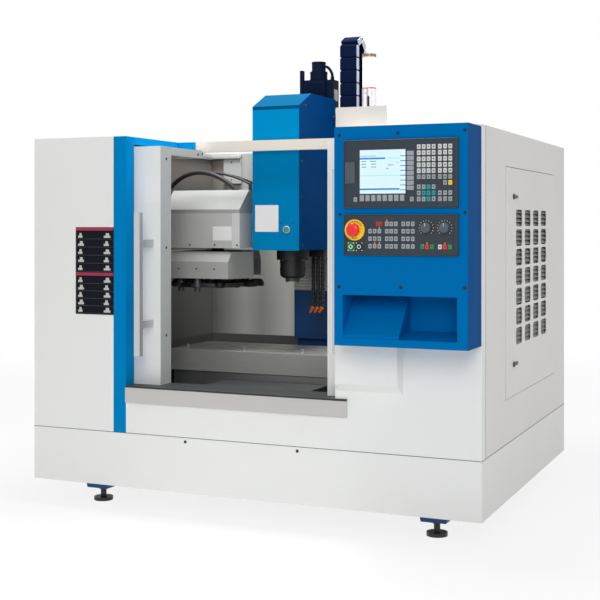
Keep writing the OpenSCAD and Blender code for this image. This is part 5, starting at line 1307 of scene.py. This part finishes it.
class CENTRE_OT_stage(bpy.types.Operator):
    """Sets up the pale floor, the soft lamps and the camera."""

    bl_idname = "centre.stage"
    bl_label = "Studio"

    def execute(self, context):
        look = Look("studio_floor", Roughness=0.9)
        look.set("Base Color", (0.80, 0.80, 0.80))
        x, y, z = look.axes()
        far = (x * x + y * y).maths("SQRT").ramp(2.2, 7.0)
        glow = look.add("ShaderNodeEmission", sockets={"Color": (1, 1, 1, 1), "Strength": 1.0})
        both = look.add("ShaderNodeMixShader")
        rays = look.add("ShaderNodeLightPath")
        seen = Value(look, rays.outputs["Is Camera Ray"])
        for kind in ("Is Glossy Ray", "Is Transmission Ray"):
            seen = seen.maths("ADD", Value(look, rays.outputs[kind]), clamp=True)
        look.feed(both.inputs[0], seen * (far * 0.16 + 0.84))
        look.tree.links.new(look.shader.outputs[0], both.inputs[1])
        look.tree.links.new(glow.outputs[0], both.inputs[2])
        look.tree.links.new(both.outputs[0], look.tree.nodes["Material Output"].inputs[0])
        mesh = bmesh.new()
        bmesh.ops.create_circle(mesh, cap_ends=True, segments=96, radius=40)
        data = bpy.data.meshes.new("floor")
        mesh.to_mesh(data)
        mesh.free()
        data.materials.append(look.material)
        floor = bpy.data.objects.new("floor", data)
        context.scene.collection.objects.link(floor)
        world = bpy.data.worlds.new("studio")
        world.use_nodes = True
        tree = world.node_tree
        context.scene.world = world
        ground = tree.nodes["Background"]
        ground.inputs["Color"].default_value = (1, 1, 1, 1)
        ground.inputs["Strength"].default_value = 0.45
        bright = tree.nodes.new("ShaderNodeBackground")
        bright.inputs["Color"].default_value = (1, 1, 1, 1)
        bright.inputs["Strength"].default_value = 1.0
        paths = tree.nodes.new("ShaderNodeLightPath")
        either = tree.nodes.new("ShaderNodeMath")
        either.operation = "ADD"
        either.use_clamp = True
        tree.links.new(paths.outputs["Is Camera Ray"], either.inputs[0])
        tree.links.new(paths.outputs["Is Transmission Ray"], either.inputs[1])
        any_seen = tree.nodes.new("ShaderNodeMath")
        any_seen.operation = "ADD"
        any_seen.use_clamp = True
        tree.links.new(either.outputs[0], any_seen.inputs[0])
        tree.links.new(paths.outputs["Is Glossy Ray"], any_seen.inputs[1])
        blend = tree.nodes.new("ShaderNodeMixShader")
        tree.links.new(any_seen.outputs[0], blend.inputs[0])
        tree.links.new(ground.outputs[0], blend.inputs[1])
        tree.links.new(bright.outputs[0], blend.inputs[2])
        tree.links.new(blend.outputs[0], tree.nodes["World Output"].inputs[0])
        self.lamp("front_lamp", (3.0, -7.5, 4.2), (0, 0, 0.9), 3.4, 195)
        self.lamp("top_lamp", (-0.1, -0.5, 4.4), (-0.1, 0.1, 0.8), 1.6, 185)
        self.lamp("side_lamp", (6.2, -0.4, 2.6), (0.4, 0, 0.9), 2.4, 22)
        camera = bpy.data.objects.new("camera", bpy.data.cameras.new("camera"))
        camera.data.lens = 71.53
        camera.data.sensor_width = 36
        camera.data.shift_y = -0.128
        camera.data.clip_end = 200
        camera.location = (2.3549, -5.6085, 1.3485)
        camera.rotation_euler = (math.radians(90), 0, math.radians(23.47))
        context.scene.collection.objects.link(camera)
        context.scene.camera = camera
        context.scene.view_settings.view_transform = "Standard"
        return {"FINISHED"}

    def lamp(self, name, place, target, size, power):
        data = bpy.data.lights.new(name, "AREA")
        data.shape = "SQUARE"
        data.size = size
        data.energy = power
        lamp = bpy.data.objects.new(name, data)
        lamp.location = place
        lamp.rotation_euler = (Vector(place) - Vector(target)).to_track_quat("Z", "Y").to_euler()
        bpy.context.scene.collection.objects.link(lamp)


OPERATORS = (
    CENTRE_OT_stage, CENTRE_OT_finishes, CENTRE_OT_keys, CENTRE_OT_units, CENTRE_OT_estop,
    CENTRE_OT_screws, CENTRE_OT_board, CENTRE_OT_head, CENTRE_OT_motor, CENTRE_OT_chain,
    CENTRE_OT_bellows, CENTRE_OT_hoses, CENTRE_OT_magazine, CENTRE_OT_seals, CENTRE_OT_fittings,
)


class CENTRE_PT_panel(bpy.types.Panel):
    """Lists the steps that dress the machine."""

    bl_label = "Machining Centre"
    bl_idname = "CENTRE_PT_panel"
    bl_space_type = "VIEW_3D"
    bl_region_type = "UI"
    bl_category = "Machining Centre"

    def draw(self, context):
        for group in (context.scene.centre_colours, context.scene.centre_sizes):
            for name in group.__annotations__:
                self.layout.prop(group, name)
        for operator in OPERATORS:
            self.layout.operator(operator.bl_idname)


CLASSES = (CentreColours, CentreSizes, *OPERATORS, CENTRE_PT_panel)


def register():
    for cls in CLASSES:
        bpy.utils.register_class(cls)
    bpy.types.Scene.centre_colours = bpy.props.PointerProperty(type=CentreColours)
    bpy.types.Scene.centre_sizes = bpy.props.PointerProperty(type=CentreSizes)


def unregister():
    del bpy.types.Scene.centre_sizes
    del bpy.types.Scene.centre_colours
    for cls in reversed(CLASSES):
        bpy.utils.unregister_class(cls)


def main():
    register()
    for operator in OPERATORS:
        group, name = operator.bl_idname.split(".")
        getattr(getattr(bpy.ops, group), name)()


if __name__ == "__main__":
    main()
